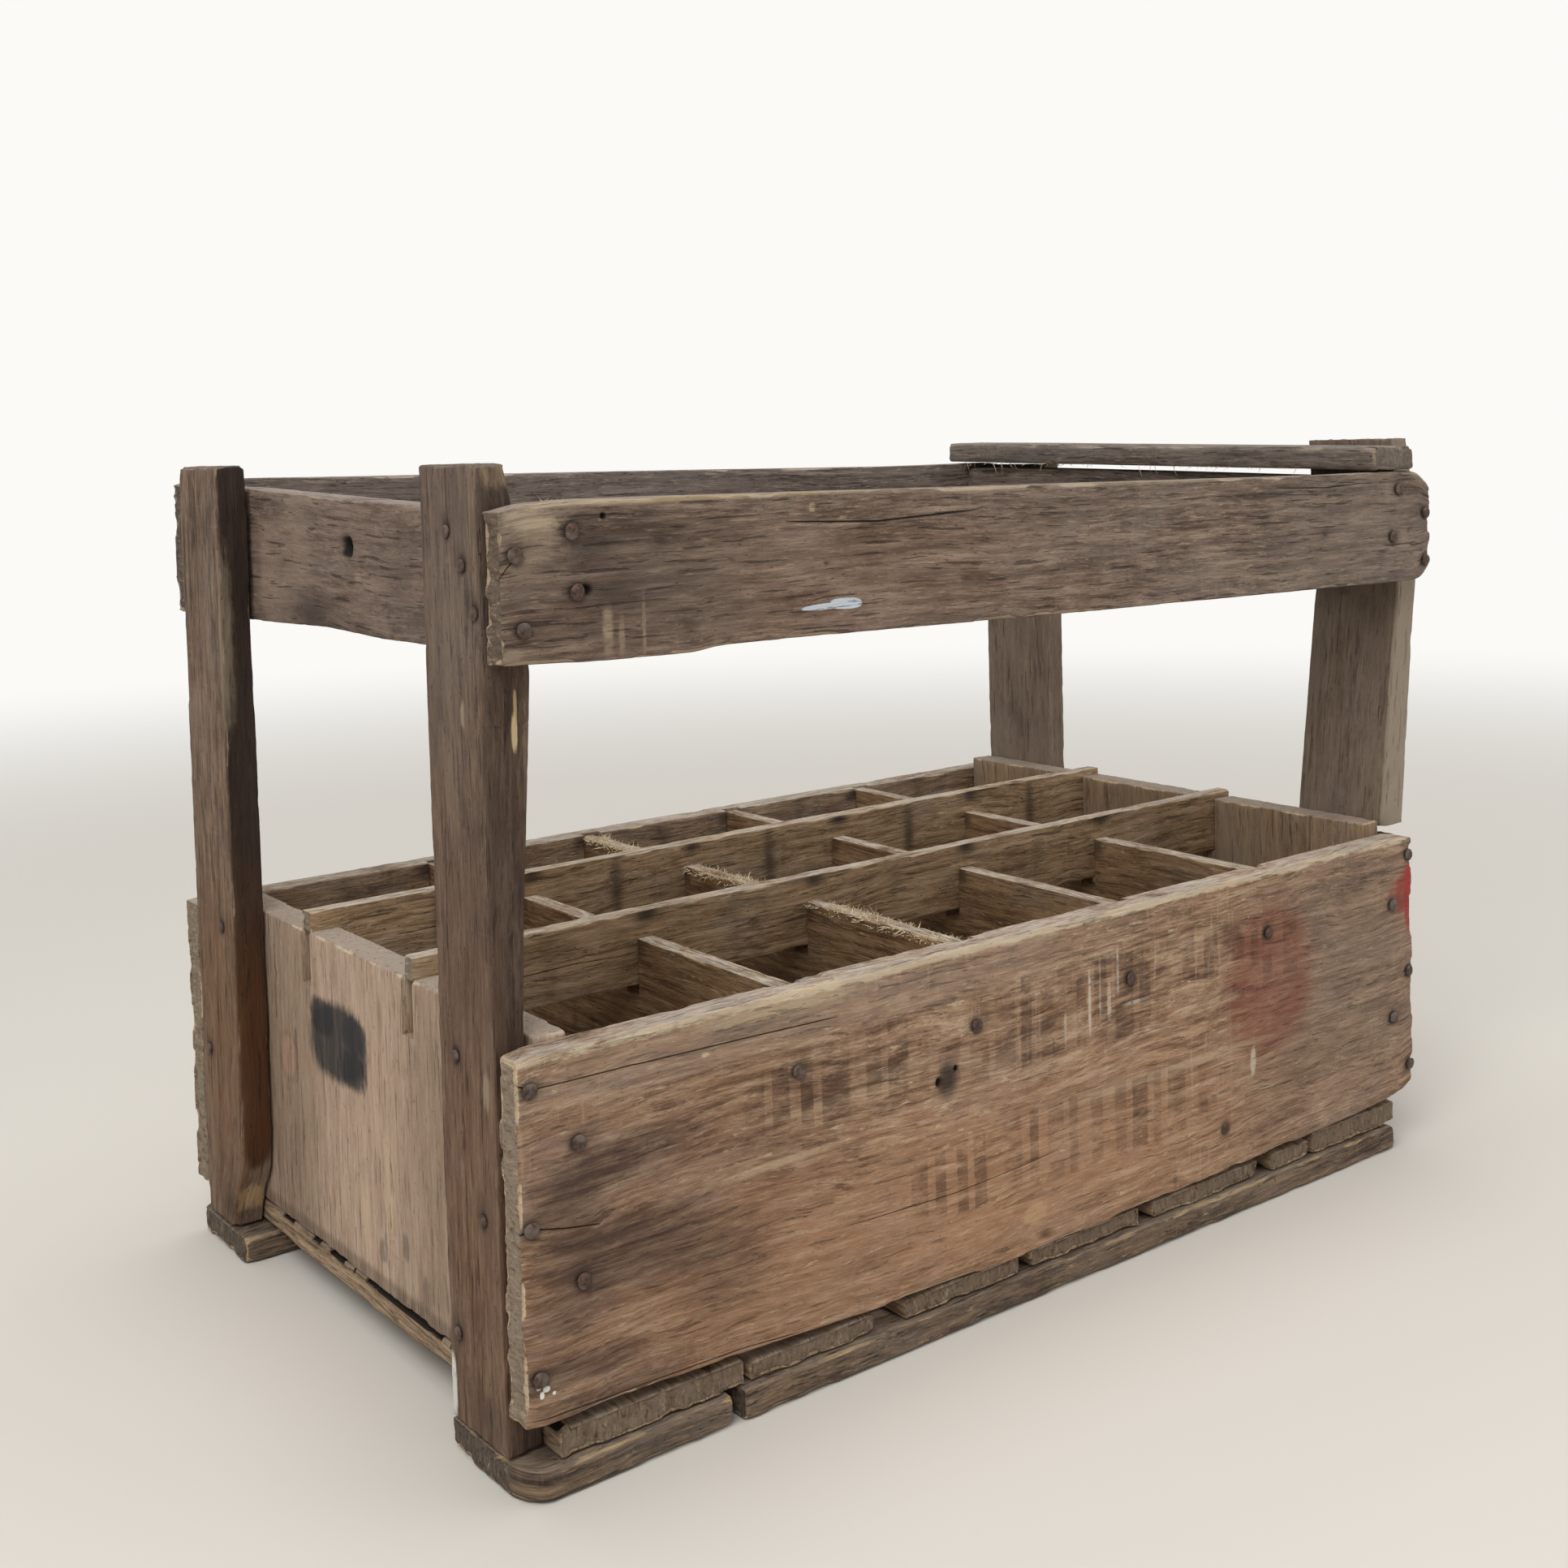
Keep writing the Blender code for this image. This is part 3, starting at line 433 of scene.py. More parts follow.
@dataclass(frozen=True)
class Skin:
    """A timber's surface once its edges are rounded.

    Attributes:
        shaped: N by 3 places over the mean size.
        outward: N by 3 unit ways out of the wood, or nothing inside a notch.
        inside: Whether the point lies inside a notch.
        wear: How worn the edge is, from 0 to 1.
        broken: How far the edge is broken away, from 0 to 1.
        end: 1 on a sawn end and 0 elsewhere.
    """

    shaped: np.ndarray
    outward: np.ndarray
    inside: np.ndarray
    wear: np.ndarray
    broken: np.ndarray
    end: np.ndarray


@dataclass
class Timber:
    """One worn piece of wood over one CAD node.

    Attributes:
        name: The piece's name.
        node: The CAD node that it stands for.
        lay: Its axes.
        material: Its finish.
        slot: A material slot name; it is not used.
        corner: The crate's near left corner on the ground.
        seed: Chooses its noise.
        pitch: Lattice distance, in millimetres.
        edge: Radius of a little worn edge, in millimetres.
        chip: How much further the edge is broken away in places, in millimetres.
        chip_bias: Above 0 more of the edge is broken, below 0 less.
        ridge: Height of the raised grain, in millimetres.
        warp: Depth of the slow unevenness, in millimetres.
        end_rough: Depth of the rough sawn ends, in millimetres.
        follow: Whether the solid's reach is followed across and through.
        blemishes: Stains, dents and holes.
        cracks: Splits along the grain.
        notches: Boxes cut out.
        crown: Extra rounding of the top end, in millimetres.
        rise: How much longer the worn top stands than its solid, in millimetres.
        nose: Radius that rounds the corner of low length and low width, in millimetres.
        gnaw: How far the edge of low width and high thickness is gnawed: across, through, and the share.
        reach: How far the solid reaches.
    """

    name: str
    node: str
    lay: Lay
    material: bpy.types.Material
    slot: str
    corner: np.ndarray
    seed: int
    pitch: float = 1.6
    edge: float = 0.8
    chip: float = 1.2
    chip_bias: float = 0.0
    ridge: float = 0.22
    warp: float = 0.35
    end_rough: float = 0.5
    follow: tuple[bool, bool] = (True, True)
    blemishes: list[Blemish] = field(default_factory=list)
    cracks: list[Crack] = field(default_factory=list)
    notches: list[Notch] = field(default_factory=list)
    crown: float = 0.0
    rise: float = 0.0
    nose: float = 0.0
    gnaw: Triple = (0.0, 0.0, 0.0)
    reach: Reach = field(init=False)

    def __post_init__(self) -> None:
        """Measures the solid's reach."""
        self.reach = Reach(bpy.data.objects[self.node], self.lay, self.follow)

    def local(self, pair: Pair) -> np.ndarray:
        """A place in millimetres from the crate's corner, along and across, in the row frame."""
        return self.corner[self.lay.axes[:2]] + np.array(pair) * MM

    def to_width(self, along: float, across: float) -> float:
        """A place across the timber, as a distance over its mean width."""
        low, high = (float(edge) for edge in self.reach.at(np.array(along), 0))
        return (across - low) / (high - low) * self.reach.size[1]

    def firm_lines(self, origin: np.ndarray) -> list[list[float]]:
        """Places on the three axes where a notch, crack or hole has to have a lattice line.

        Args:
            origin: The block's lowest corner.

        Returns:
            Three lists of distances from that corner.
        """
        firm: list[list[float]] = [[], [], []]
        for notch in self.notches:
            for axis in range(3):
                firm[axis] += [notch.low[axis] - origin[axis], notch.high[axis] - origin[axis]]
        for crack in self.cracks:
            middle = self.crack_middle(crack)
            firm[1] += [middle - crack.width * MM, middle, middle + crack.width * MM]
        for spot in self.blemishes:
            if spot.depth > DEEP:
                along, across = self.local(spot.at)
                width = self.to_width(along, across)
                for share in HOLE_STEPS:
                    firm[0].append(along - origin[0] + share * spot.radii[0] * MM)
                    firm[1].append(width + share * spot.radii[1] * MM)
        if self.gnaw[2] > 0:
            firm[1] += [self.gnaw[0] * MM]
            firm[2] += [self.reach.size[2] - self.gnaw[1] * MM]
        return firm

    def lattice(self) -> tuple[list[np.ndarray], np.ndarray]:
        """The lattice lines on the three axes, and the cells that are full.

        Returns:
            Three arrays of lines and the three-way array of full cells.
        """
        sides = [float(edge[:, 0].mean()) for edge in self.reach.edges]
        origin = np.array([self.reach.low[0], *sides])
        rim = (self.edge + self.chip) * MM
        lines = [ruled(0.0, size, self.pitch * MM, min(rim, size * 0.35), firm)
                 for size, firm in zip(self.reach.size, self.firm_lines(origin))]
        middles = [(line[1:] + line[:-1]) / 2 + start for line, start in zip(lines, origin)]
        solid = np.ones([len(middle) for middle in middles], bool)
        for notch in self.notches:
            inside = [(middle > notch.low[axis]) & (middle < notch.high[axis]) for axis, middle in enumerate(middles)]
            solid[np.ix_(*inside)] = False
        across, through, share = self.gnaw
        if share > 0:
            inside = [TEETH.over(middles[0][:, None] / MM, self.seed) > 1 - 2 * share,
                      middles[1] - origin[1] < across * MM,
                      middles[2] - origin[2] > self.reach.size[2] - through * MM]
            solid[np.ix_(*inside)] = False
        return lines, solid

    def crack_middle(self, crack: Crack) -> float:
        """The crack's mean place over the timber's mean width."""
        places = [self.local(pair) for pair in crack.path]
        return float(np.mean([self.to_width(*place) for place in places]))

    def follow_cracks(self, local: np.ndarray) -> tuple[np.ndarray, np.ndarray]:
        """Bends the lattice lines onto each crack and says how deep it is there.

        Formula: the line nearest to the crack moves onto it, and its neighbours move less and less with
        the bell exp(-(distance / reach)^2); the crack is deepest along its middle and ends in points,
        but one that starts at the timber's end is open there.

        Args:
            local: N by 3 places over the mean size; the second column is changed.

        Returns:
            The depth at each point, in metres, and the strength of the painted shade along the crack, from 0 to 1.
        """
        depth, hollow = np.zeros(len(local)), np.zeros(len(local))
        for crack in self.cracks:
            places = np.array([self.local(pair) for pair in crack.path])
            along = places[:, 0] - self.reach.low[0]
            across = np.array([self.to_width(*place) for place in places])
            middle = self.crack_middle(crack)
            shift = np.interp(local[:, 0], along, across) - middle
            away = local[:, 1] - middle
            spread = 4 * MM + 2.0 * float(np.abs(across - middle).max())
            on_line = np.abs(away) < 2 * ON_FACE
            part = (local[:, 0] - along[0]) / (along[-1] - along[0])
            taper = np.sqrt(np.clip(4 * part * (1 - part), 0, 1)) * ((part > 0) & (part < 1))
            taper = np.maximum(taper, ((along[0] <= 1 * MM) & (part < 0.5)) * 1.0)
            face = self.on_side(local, crack.side)
            depth += on_line * taper * face * crack.depth * MM
            hollow += on_line * np.minimum(taper * 1.6, 1.0) * face
            local[:, 1] += shift * np.exp(-(away / spread) ** 2) * (0.2 + 0.8 * (taper > 0))
        return depth, np.clip(hollow, 0, 1)

    def on_side(self, local: np.ndarray, side: Side) -> np.ndarray:
        """Which points lie on a wide face.

        Args:
            local: N by 3 places over the mean size.
            side: The face.

        Returns:
            N values, 1 on the face and 0 elsewhere.
        """
        at_low, at_high = local[:, 2] < ON_FACE, local[:, 2] > self.reach.size[2] - ON_FACE
        chosen = {Side.LOW: at_low, Side.HIGH: at_high, Side.BOTH: at_low | at_high}[side]
        return chosen.astype(float)

    def fall(self, local: np.ndarray, spot: Blemish) -> np.ndarray:
        """How strongly a blemish works at each point.

        Formula: exp(-d^sharp) on its side of the timber, where d is the distance in its own radii.

        Args:
            local: N by 3 places over the mean size.
            spot: The blemish.

        Returns:
            N values from 0 to 1.
        """
        along, across = self.local(spot.at)
        offset = np.stack([(local[:, 0] - (along - self.reach.low[0])) / (spot.radii[0] * MM),
                           (local[:, 1] - self.to_width(along, across)) / (spot.radii[1] * MM)])
        return np.exp(-np.linalg.norm(offset, axis=0) ** spot.sharp) * self.on_side(local, spot.side)

    def round_off(self, local: np.ndarray) -> Skin:
        """Rounds the edges and breaks them in places.

        Formula: a point q of the lattice block is clamped to the block shrunk by the edge radius r, and
        moved to the clamped point plus r along the way from there to q, which rounds every edge and
        corner. The radius grows where noise breaks the edge, near the ends, and at a crowned top.

        Args:
            local: N by 3 places over the mean size.

        Returns:
            The rounded skin.
        """
        border, half = np.minimum(local, self.reach.size - local), self.reach.size / 2
        near_end = smooth_step(border[:, 0], 13 * MM, 0.0)
        bias = self.chip_bias + 0.12 * near_end
        broken = smooth_step(BREAKS.over(local / MM, self.seed) + bias, 0.08, 0.42)
        radius = (self.edge + self.chip * broken * (1 + 0.2 * near_end))[:, None] * MM
        if self.crown > 0:
            top = smooth_step(local[:, :1], self.reach.size[0] - 2.4 * self.crown * MM, self.reach.size[0])
            radius = radius + self.crown * MM * top
        radius = np.minimum(radius, half.min() * 0.9)
        centred = local - half
        inner = np.clip(centred, radius - half, half - radius)
        away = centred - inner
        length = np.linalg.norm(away, axis=1, keepdims=True)
        outward = away / np.maximum(length, NOTHING)
        shaped = inner + outward * np.minimum(radius, length * 1e6) + half
        bend = 1 - np.abs(outward).max(axis=1)
        band = np.exp(-(np.sort(border, axis=1)[:, 1] / ((self.edge + 0.9) * MM)) ** 2)
        wear = np.clip(np.maximum(bend / 0.18, 0.85 * band), 0, 1) * (length[:, 0] > 0)
        end = smooth_step(np.abs(outward[:, 0]), 0.5, 0.8)
        return Skin(shaped, outward, length[:, 0] < NOTHING, wear, broken, end)

    def weather(self, local: np.ndarray, skin: Skin) -> np.ndarray:
        """How far weather and the saw have taken the surface back.

        Formula: the sum of slow waves, raised grain, pits, rough ends and nicked edges, each its depth
        times a layer of noise. The end of high length is half as rough as the other.

        Args:
            local: N by 3 places over the mean size.
            skin: The rounded skin.

        Returns:
            N depths in millimetres.
        """
        place = local / MM
        raw = np.where(local[:, 0] > self.reach.size[0] / 2, 0.5, 1.0)
        rough = SAW_MARKS.over(place, self.seed)
        sink = self.warp * (0.5 + 0.5 * SLOW_WAVES.over(place, self.seed))
        sink += self.ridge * (0.5 + 0.5 * RAISED_GRAIN.over(place, self.seed))
        sink += 0.45 * smooth_step(PITS.over(place, self.seed), 0.42, 0.7)
        sink += skin.end * raw * self.end_rough * (1.0 + rough + 0.6 * SPLINTERS.over(place, self.seed))
        sink += skin.wear * 0.35 * (0.5 + 0.5 * NICKS.over(place, self.seed))
        return sink

    def stand(self, skin: Skin, sink: np.ndarray) -> tuple[np.ndarray, np.ndarray]:
        """Stretches the skin to the solid's reach at each station and sinks it along its outward way.

        Formula: a nose of radius n lifts the low side by n - sqrt(n^2 - i^2), where i is how far the
        point lies inside the nose.

        Args:
            skin: The rounded skin.
            sink: N depths in metres.

        Returns:
            N by 3 places and N by 3 outward ways in the row frame.
        """
        along = self.reach.low[0] + skin.shaped[:, 0] * (1 + self.rise * MM / self.reach.size[0])
        world, outward = np.zeros_like(skin.shaped), np.zeros_like(skin.shaped)
        world[:, self.lay.axes[0]] = along
        nose = self.nose * MM
        for which, axis in enumerate(self.lay.axes[1:]):
            low, high = self.reach.at(along, which)
            if which == 0 and nose > 0:
                inward = np.clip(nose - skin.shaped[:, 0], 0, nose)
                low = low + nose - np.sqrt(nose ** 2 - inward ** 2)
            world[:, axis] = low + skin.shaped[:, which + 1] / self.reach.size[which + 1] * (high - low)
        outward[:, self.lay.axes] = skin.outward
        return world - outward * sink[:, None], outward

    def build(self) -> bpy.types.Object:
        """Makes the timber, lets it stand for its node and logs it.

        The surface only ever sinks, so the timber stays inside its solid; only a top with a rise stands
        above it.

        Returns:
            The object.
        """
        lines, solid = self.lattice()
        indices, faces = lattice_shell(solid)
        local = np.stack([lines[axis][indices[:, axis]] for axis in range(3)], axis=1)
        crack_depth, hollow = self.follow_cracks(local)
        skin = self.round_off(local)
        sink = self.weather(local, skin) * MM + crack_depth
        stain = np.zeros(len(local))
        for spot in self.blemishes:
            fall = self.fall(local, spot)
            sink += fall * spot.depth * MM
            stain = np.maximum(stain, fall * spot.stain)
            # A deep hole gets painted shade inside.
            hollow = np.maximum(hollow, fall * min(spot.depth / 2.0, 1.0) * (spot.depth > DEEP))
        # The inside of the gnawed notch gets painted shade.
        if self.gnaw[2] > 0:
            bitten = (local[:, 2] > self.reach.size[2] - (self.gnaw[1] + 0.1) * MM) & skin.inside
            hollow = np.maximum(hollow, bitten * 1.0)
        world, outward = self.stand(skin, sink)
        thing = place_mesh(self.name, world, faces[:, ::-1] if self.lay.mirrored else faces, self.material)
        end = skin.end * (self.on_side(local, Side.BOTH) < 0.5)
        marks = np.stack([skin.wear * (0.35 + 0.65 * skin.broken), stain, hollow, end], axis=1)
        drift = self.seed * np.array([0.173, 0.091, 0.057])
        add_marks(thing, local + drift, marks, smooth_step(outward[:, 2], 0.25, 0.8))
        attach(thing, "root")
        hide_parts(self.node)
        LOG.info("%s: %d faces", self.name, len(faces))
        return thing


class NodeSheet:
    """Short calls for the nodes of one material or group."""

    def __init__(self, tree: bpy.types.NodeTree) -> None:
        """Keeps the tree."""
        self.tree = tree

    def node(self, kind: str, inputs: dict | None = None, **settings: object) -> bpy.types.Node:
        """Adds a node.

        Args:
            kind: The node's type, without the word that every shader node's type starts with.
            inputs: Socket names or numbers with values or sockets that feed them.
            settings: The node's own properties.

        Returns:
            The node.
        """
        made = self.tree.nodes.new(kind if kind.startswith("Node") else "ShaderNode" + kind)
        for name, value in settings.items():
            setattr(made, name, value)
        for name, value in (inputs or {}).items():
            self.feed(made.inputs[name], value)
        return made

    def feed(self, socket: Socket, value: object) -> None:
        """Links a socket, or sets a plain value."""
        if isinstance(value, bpy.types.NodeSocket):
            self.tree.links.new(value, socket)
        else:
            socket.default_value = value

    def math(self, operation: str, first: object, second: object = 0.0) -> Socket:
        """One sum on values."""
        return self.node("Math", {0: first, 1: second}, operation=operation).outputs[0]

    def times(self, first: object, second: object) -> Socket:
        """Two values multiplied."""
        return self.math("MULTIPLY", first, second)

    def plus(self, first: object, second: object) -> Socket:
        """Two values added."""
        return self.math("ADD", first, second)

    def minus(self, first: object, second: object) -> Socket:
        """The second value taken from the first."""
        return self.math("SUBTRACT", first, second)

    def vector(self, operation: str, first: object, second: object) -> bpy.types.Node:
        """One sum on vectors."""
        return self.node("VectorMath", {0: first, 1: second}, operation=operation)

    def length(self, way: Socket) -> Socket:
        """A vector's length."""
        return self.node("VectorMath", {0: way}, operation="LENGTH").outputs["Value"]

    def blend(self, factor: object, first: object, second: object) -> Socket:
        """Mixes two colours; a colour may be a screen code."""
        first, second = (tone(colour) if isinstance(colour, str) else colour for colour in (first, second))
        return self.node("Mix", {0: factor, 6: first, 7: second}, data_type="RGBA").outputs[2]

    def step(self, value: object, low: float, high: float, top: float = 1.0) -> Socket:
        """An S curve from 0 at low to top at high."""
        inputs = {"Value": value, "From Min": low, "From Max": high, "To Min": 0.0, "To Max": top}
        return self.node("MapRange", inputs, interpolation_type="SMOOTHSTEP").outputs["Result"]

    def noise(self, place: object, stretch: Triple, detail: float, roughness: float = 0.55,
              shift: Triple = (0.0, 0.0, 0.0)) -> Socket:
        """Noise over a place.

        Args:
            place: The place, in metres.
            stretch: Noise cells per metre on each axis.
            detail: How many finer layers.
            roughness: How strong the finer ones are.
            shift: Moves the pattern, in cells.

        Returns:
            A value from 0 to 1.
        """
        mapped = self.node("Mapping", {"Vector": place, "Scale": stretch, "Location": shift})
        inputs = {"Vector": mapped.outputs[0], "Scale": 1.0, "Detail": detail, "Roughness": roughness}
        return self.node("TexNoise", inputs).outputs["Fac"]

    def finish(self, shader: bpy.types.Node, colour: Socket, grain: Socket, rough: Pair, relief: float,
               height: Socket) -> None:
        """Feeds the last sockets of a surface.

        Args:
            shader: The Principled node.
            colour: The surface's colour.
            grain: What its roughness follows.
            rough: Roughness where that is 0 and where it is 1.
            relief: Depth of the fine relief, in millimetres.
            height: The relief's height.
        """
        self.feed(shader.inputs["Base Color"], colour)
        spread = self.node("MapRange", {"Value": grain, "To Min": rough[0], "To Max": rough[1]})
        self.feed(shader.inputs["Roughness"], spread.outputs["Result"])
        bump = self.node("Bump", {"Strength": 1.0, "Distance": relief * MM, "Height": height})
        self.feed(shader.inputs["Normal"], bump.outputs["Normal"])


def new_material(name: str) -> tuple[bpy.types.Material, NodeSheet, bpy.types.Node]:
    """Makes a material.

    Args:
        name: Its name.

    Returns:
        The material, its sheet of nodes and its Principled node.
    """
    material = bpy.data.materials.new(name)
    material.use_nodes = True
    return material, NodeSheet(material.node_tree), material.node_tree.nodes["Principled BSDF"]


class ShaderGroup:
    """A shader node group with named sockets, built once."""

    def __init__(self, name: str, inputs: dict[str, object], outputs: str) -> None:
        """Makes the empty group.

        Args:
            name: The group's name.
            inputs: Socket names with defaults; a tuple of three makes a vector socket.
            outputs: Names of the values that it gives, with spaces between them.
        """
        self.tree = bpy.data.node_groups.new(name, "ShaderNodeTree")
        for label, value in inputs.items():
            kind = "NodeSocketVector" if isinstance(value, tuple) else "NodeSocketFloat"
            self.tree.interface.new_socket(label, in_out="INPUT", socket_type=kind).default_value = value
        for label in outputs.split():
            self.tree.interface.new_socket(label, in_out="OUTPUT", socket_type="NodeSocketFloat")
        self.sheet = NodeSheet(self.tree)
        self.source = self.sheet.node("NodeGroupInput").outputs
        self.result = self.sheet.node("NodeGroupOutput").inputs

    def place(self, sheet: NodeSheet, inputs: dict[str, object]) -> bpy.types.Node:
        """Puts the group into a material.

        Args:
            sheet: The material's nodes.
            inputs: Socket names with values or sockets that feed them.

        Returns:
            The group's node.
        """
        made = sheet.node("Group", node_tree=self.tree)
        for name, value in inputs.items():
            sheet.feed(made.inputs[name], value)
        return made


class WoodGroups:
    """The shared effects of every wood finish."""

    def __init__(self) -> None:
        """Builds the groups."""
        self.grain = self.build_grain()
        self.wear = self.build_wear()
        self.patch = self.build_patch()

    @staticmethod
    def build_grain() -> ShaderGroup:
        """Grain lines, fine fibres, slow blotches, dark checks, pale scuffs, pits and their relief."""
        group = ShaderGroup("weathered_grain", {"Place": (0.0, 0.0, 0.0), "Wave": 1.0, "Short": 1.0},
                            "Streak Fibre Blotch Grime Check Scuff Pit Fleck Height")
        sheet, place = group.sheet, group.source["Place"]
        bow = sheet.minus(sheet.noise(place, (6.0, 13.0, 13.0), 3.0), 0.5)
        bow = sheet.times(sheet.times(bow, 0.02), group.source["Wave"])
        offset = sheet.node("CombineXYZ", {"X": 0.0, "Y": bow, "Z": bow})
        bent = sheet.vector("ADD", place, offset.outputs[0]).outputs[0]
        ratio = sheet.node("CombineXYZ", {"X": group.source["Short"], "Y": 1.0, "Z": 1.0})
        scaled = sheet.vector("MULTIPLY", bent, ratio.outputs[0]).outputs[0]
        streak = sheet.noise(scaled, (10.0, 280.0, 280.0), 8.0, 0.74)
        fibre = sheet.noise(bent, (75.0, 900.0, 900.0), 4.0, 0.75, (3.0, 7.0, 1.0))
        blotch = sheet.noise(place, (11.0, 26.0, 26.0), 8.0, 0.74, (9.0, 2.0, 5.0))
        grime = sheet.noise(place, (26.0, 56.0, 56.0), 8.0, 0.78, (4.0, 6.0, 2.0))
        check = sheet.noise(bent, (30.0, 520.0, 520.0), 4.0, 0.6, (1.0, 4.0, 8.0))
        rift = sheet.step(blotch, 0.62, 0.40)
        check = sheet.step(sheet.plus(check, sheet.times(rift, 0.035)), 0.625, 0.69)
        scuff = sheet.noise(place, (380.0, 30.0, 30.0), 4.0, 0.6, (5.0, 5.0, 2.0))
        area = sheet.noise(place, (16.0, 22.0, 22.0), 3.0, 0.5, (2.0, 8.0, 3.0))
        scuff = sheet.times(sheet.step(scuff, 0.54, 0.68), sheet.step(area, 0.48, 0.64))
        pit = sheet.step(sheet.noise(place, (330.0, 620.0, 620.0), 2.0, 0.5, (7.0, 1.0, 4.0)), 0.67, 0.75)
        fleck = sheet.noise(place, (100.0, 430.0, 430.0), 3.0, 0.65, (6.0, 3.0, 9.0))
        fleck = sheet.times(sheet.step(fleck, 0.61, 0.68), sheet.step(grime, 0.46, 0.56))
        lines = sheet.plus(streak, sheet.times(fibre, 0.8))
        height = sheet.minus(lines, sheet.times(check, 0.9))
        height = sheet.minus(height, sheet.times(pit, 0.5))
        for socket, value in zip(group.result, (streak, fibre, blotch, grime, check, scuff, pit, fleck, height)):
            sheet.feed(socket, value)
        return group

    @staticmethod
    def build_wear() -> ShaderGroup:
        """Turns the mesh's edge wear into a ragged mask of freshly broken wood."""
        group = ShaderGroup("edge_wear", {"Place": (0.0, 0.0, 0.0), "Wear": 0.0, "Amount": 1.0}, "Mask")
        sheet, source = group.sheet, group.source
        ragged = sheet.noise(source["Place"], (110.0, 480.0, 480.0), 4.0, 0.7)
        level = sheet.times(source["Wear"], source["Amount"])
        level = sheet.plus(level, sheet.times(sheet.minus(ragged, 0.5), 1.5))
        sheet.feed(group.result["Mask"], sheet.step(level, 0.42, 0.78))
        return group

    @staticmethod
    def build_patch() -> ShaderGroup:
        """A worn patch: a rounded block round a centre, with a ragged rim and grain showing through.

        Formula: the offset from the centre over the size has an oval length and the fourth root of its
        squares' squared sum, which is a block's; their mean, roughened by noise, is 1 at the rim.
        """
        vectors = dict.fromkeys(("Spot", "Place", "Centre"), (0.0, 0.0, 0.0)) | {"Size": (1.0, 1.0, 1.0)}
        values = {"Slope": 0.0, "Ragged": 0.3, "Soft": 0.15, "Worn": 0.3, "Streak": 0.5}
        group = ShaderGroup("worn_patch", vectors | values, "Mask")
        sheet, source = group.sheet, group.source
        offset = sheet.vector("SUBTRACT", source["Spot"], source["Centre"]).outputs[0]
        parts = sheet.node("SeparateXYZ", {0: offset}).outputs
        along = sheet.times(sheet.plus(parts["X"], parts["Y"]), source["Slope"])
        rise = sheet.minus(parts["Z"], along)
        level = sheet.node("CombineXYZ", {"X": parts["X"], "Y": parts["Y"], "Z": rise}).outputs[0]
        share = sheet.vector("DIVIDE", level, source["Size"]).outputs[0]
        squared = sheet.vector("MULTIPLY", share, share).outputs[0]
        fourth = sheet.vector("DOT_PRODUCT", squared, squared).outputs["Value"]
        oval = sheet.length(share)
        distance = sheet.times(sheet.plus(sheet.math("POWER", fourth, 0.25), oval), 0.5)
        ragged = sheet.minus(sheet.noise(source["Place"], (90.0, 330.0, 330.0), 5.0, 0.72), 0.5)
        distance = sheet.plus(distance, sheet.times(ragged, source["Ragged"]))
        inputs = {"Value": distance, "From Min": sheet.plus(1.0, source["Soft"]),
                  "From Max": sheet.minus(1.0, source["Soft"])}
        mask = sheet.node("MapRange", inputs, interpolation_type="SMOOTHSTEP").outputs["Result"]
        fade = sheet.minus(1.0, sheet.times(source["Worn"], sheet.step(source["Streak"], 0.35, 0.65)))
        sheet.feed(group.result["Mask"], sheet.times(mask, fade))
        return group


@dataclass(frozen=True)
class Patch:
    """A worn patch of paint, dirt or bleached wood; some patches are painted shade and one is painted light.

    Attributes:
        centre: Its middle, in millimetres from the crate's corner.
        size: How far it reaches from there on each axis, in millimetres.
        colour: Its screen colour.
        strength: How much it covers, from 0 to 1.
        ragged: How ragged its rim is.
        soft: How soft its rim is.
        worn: How much the grain shows through, from 0 to 1.
        slope: How much it climbs along X and Y.
    """

    centre: Triple
    size: Triple
    colour: str
    strength: float
    ragged: float = 0.35
    soft: float = 0.2
    worn: float = 0.3
    slope: float = 0.0

    def mask(self, sheet: NodeSheet, groups: WoodGroups, corner: np.ndarray, ground: tuple) -> Socket:
        """Where the patch shows.

        Args:
            sheet: The material's nodes.
            groups: The shared effects.
            corner: The crate's corner.
            ground: The object's own coordinates, the place along the grain, and the grain lines.

        Returns:
            A value from 0 to 1.
        """
        inputs = {"Spot": ground[0], "Place": ground[1], "Centre": tuple(corner + np.array(self.centre) * MM),
                  "Size": tuple(size * MM for size in self.size), "Ragged": self.ragged, "Slope": self.slope,
                  "Soft": self.soft, "Worn": self.worn, "Streak": ground[2]}
        return groups.patch.place(sheet, inputs).outputs["Mask"]


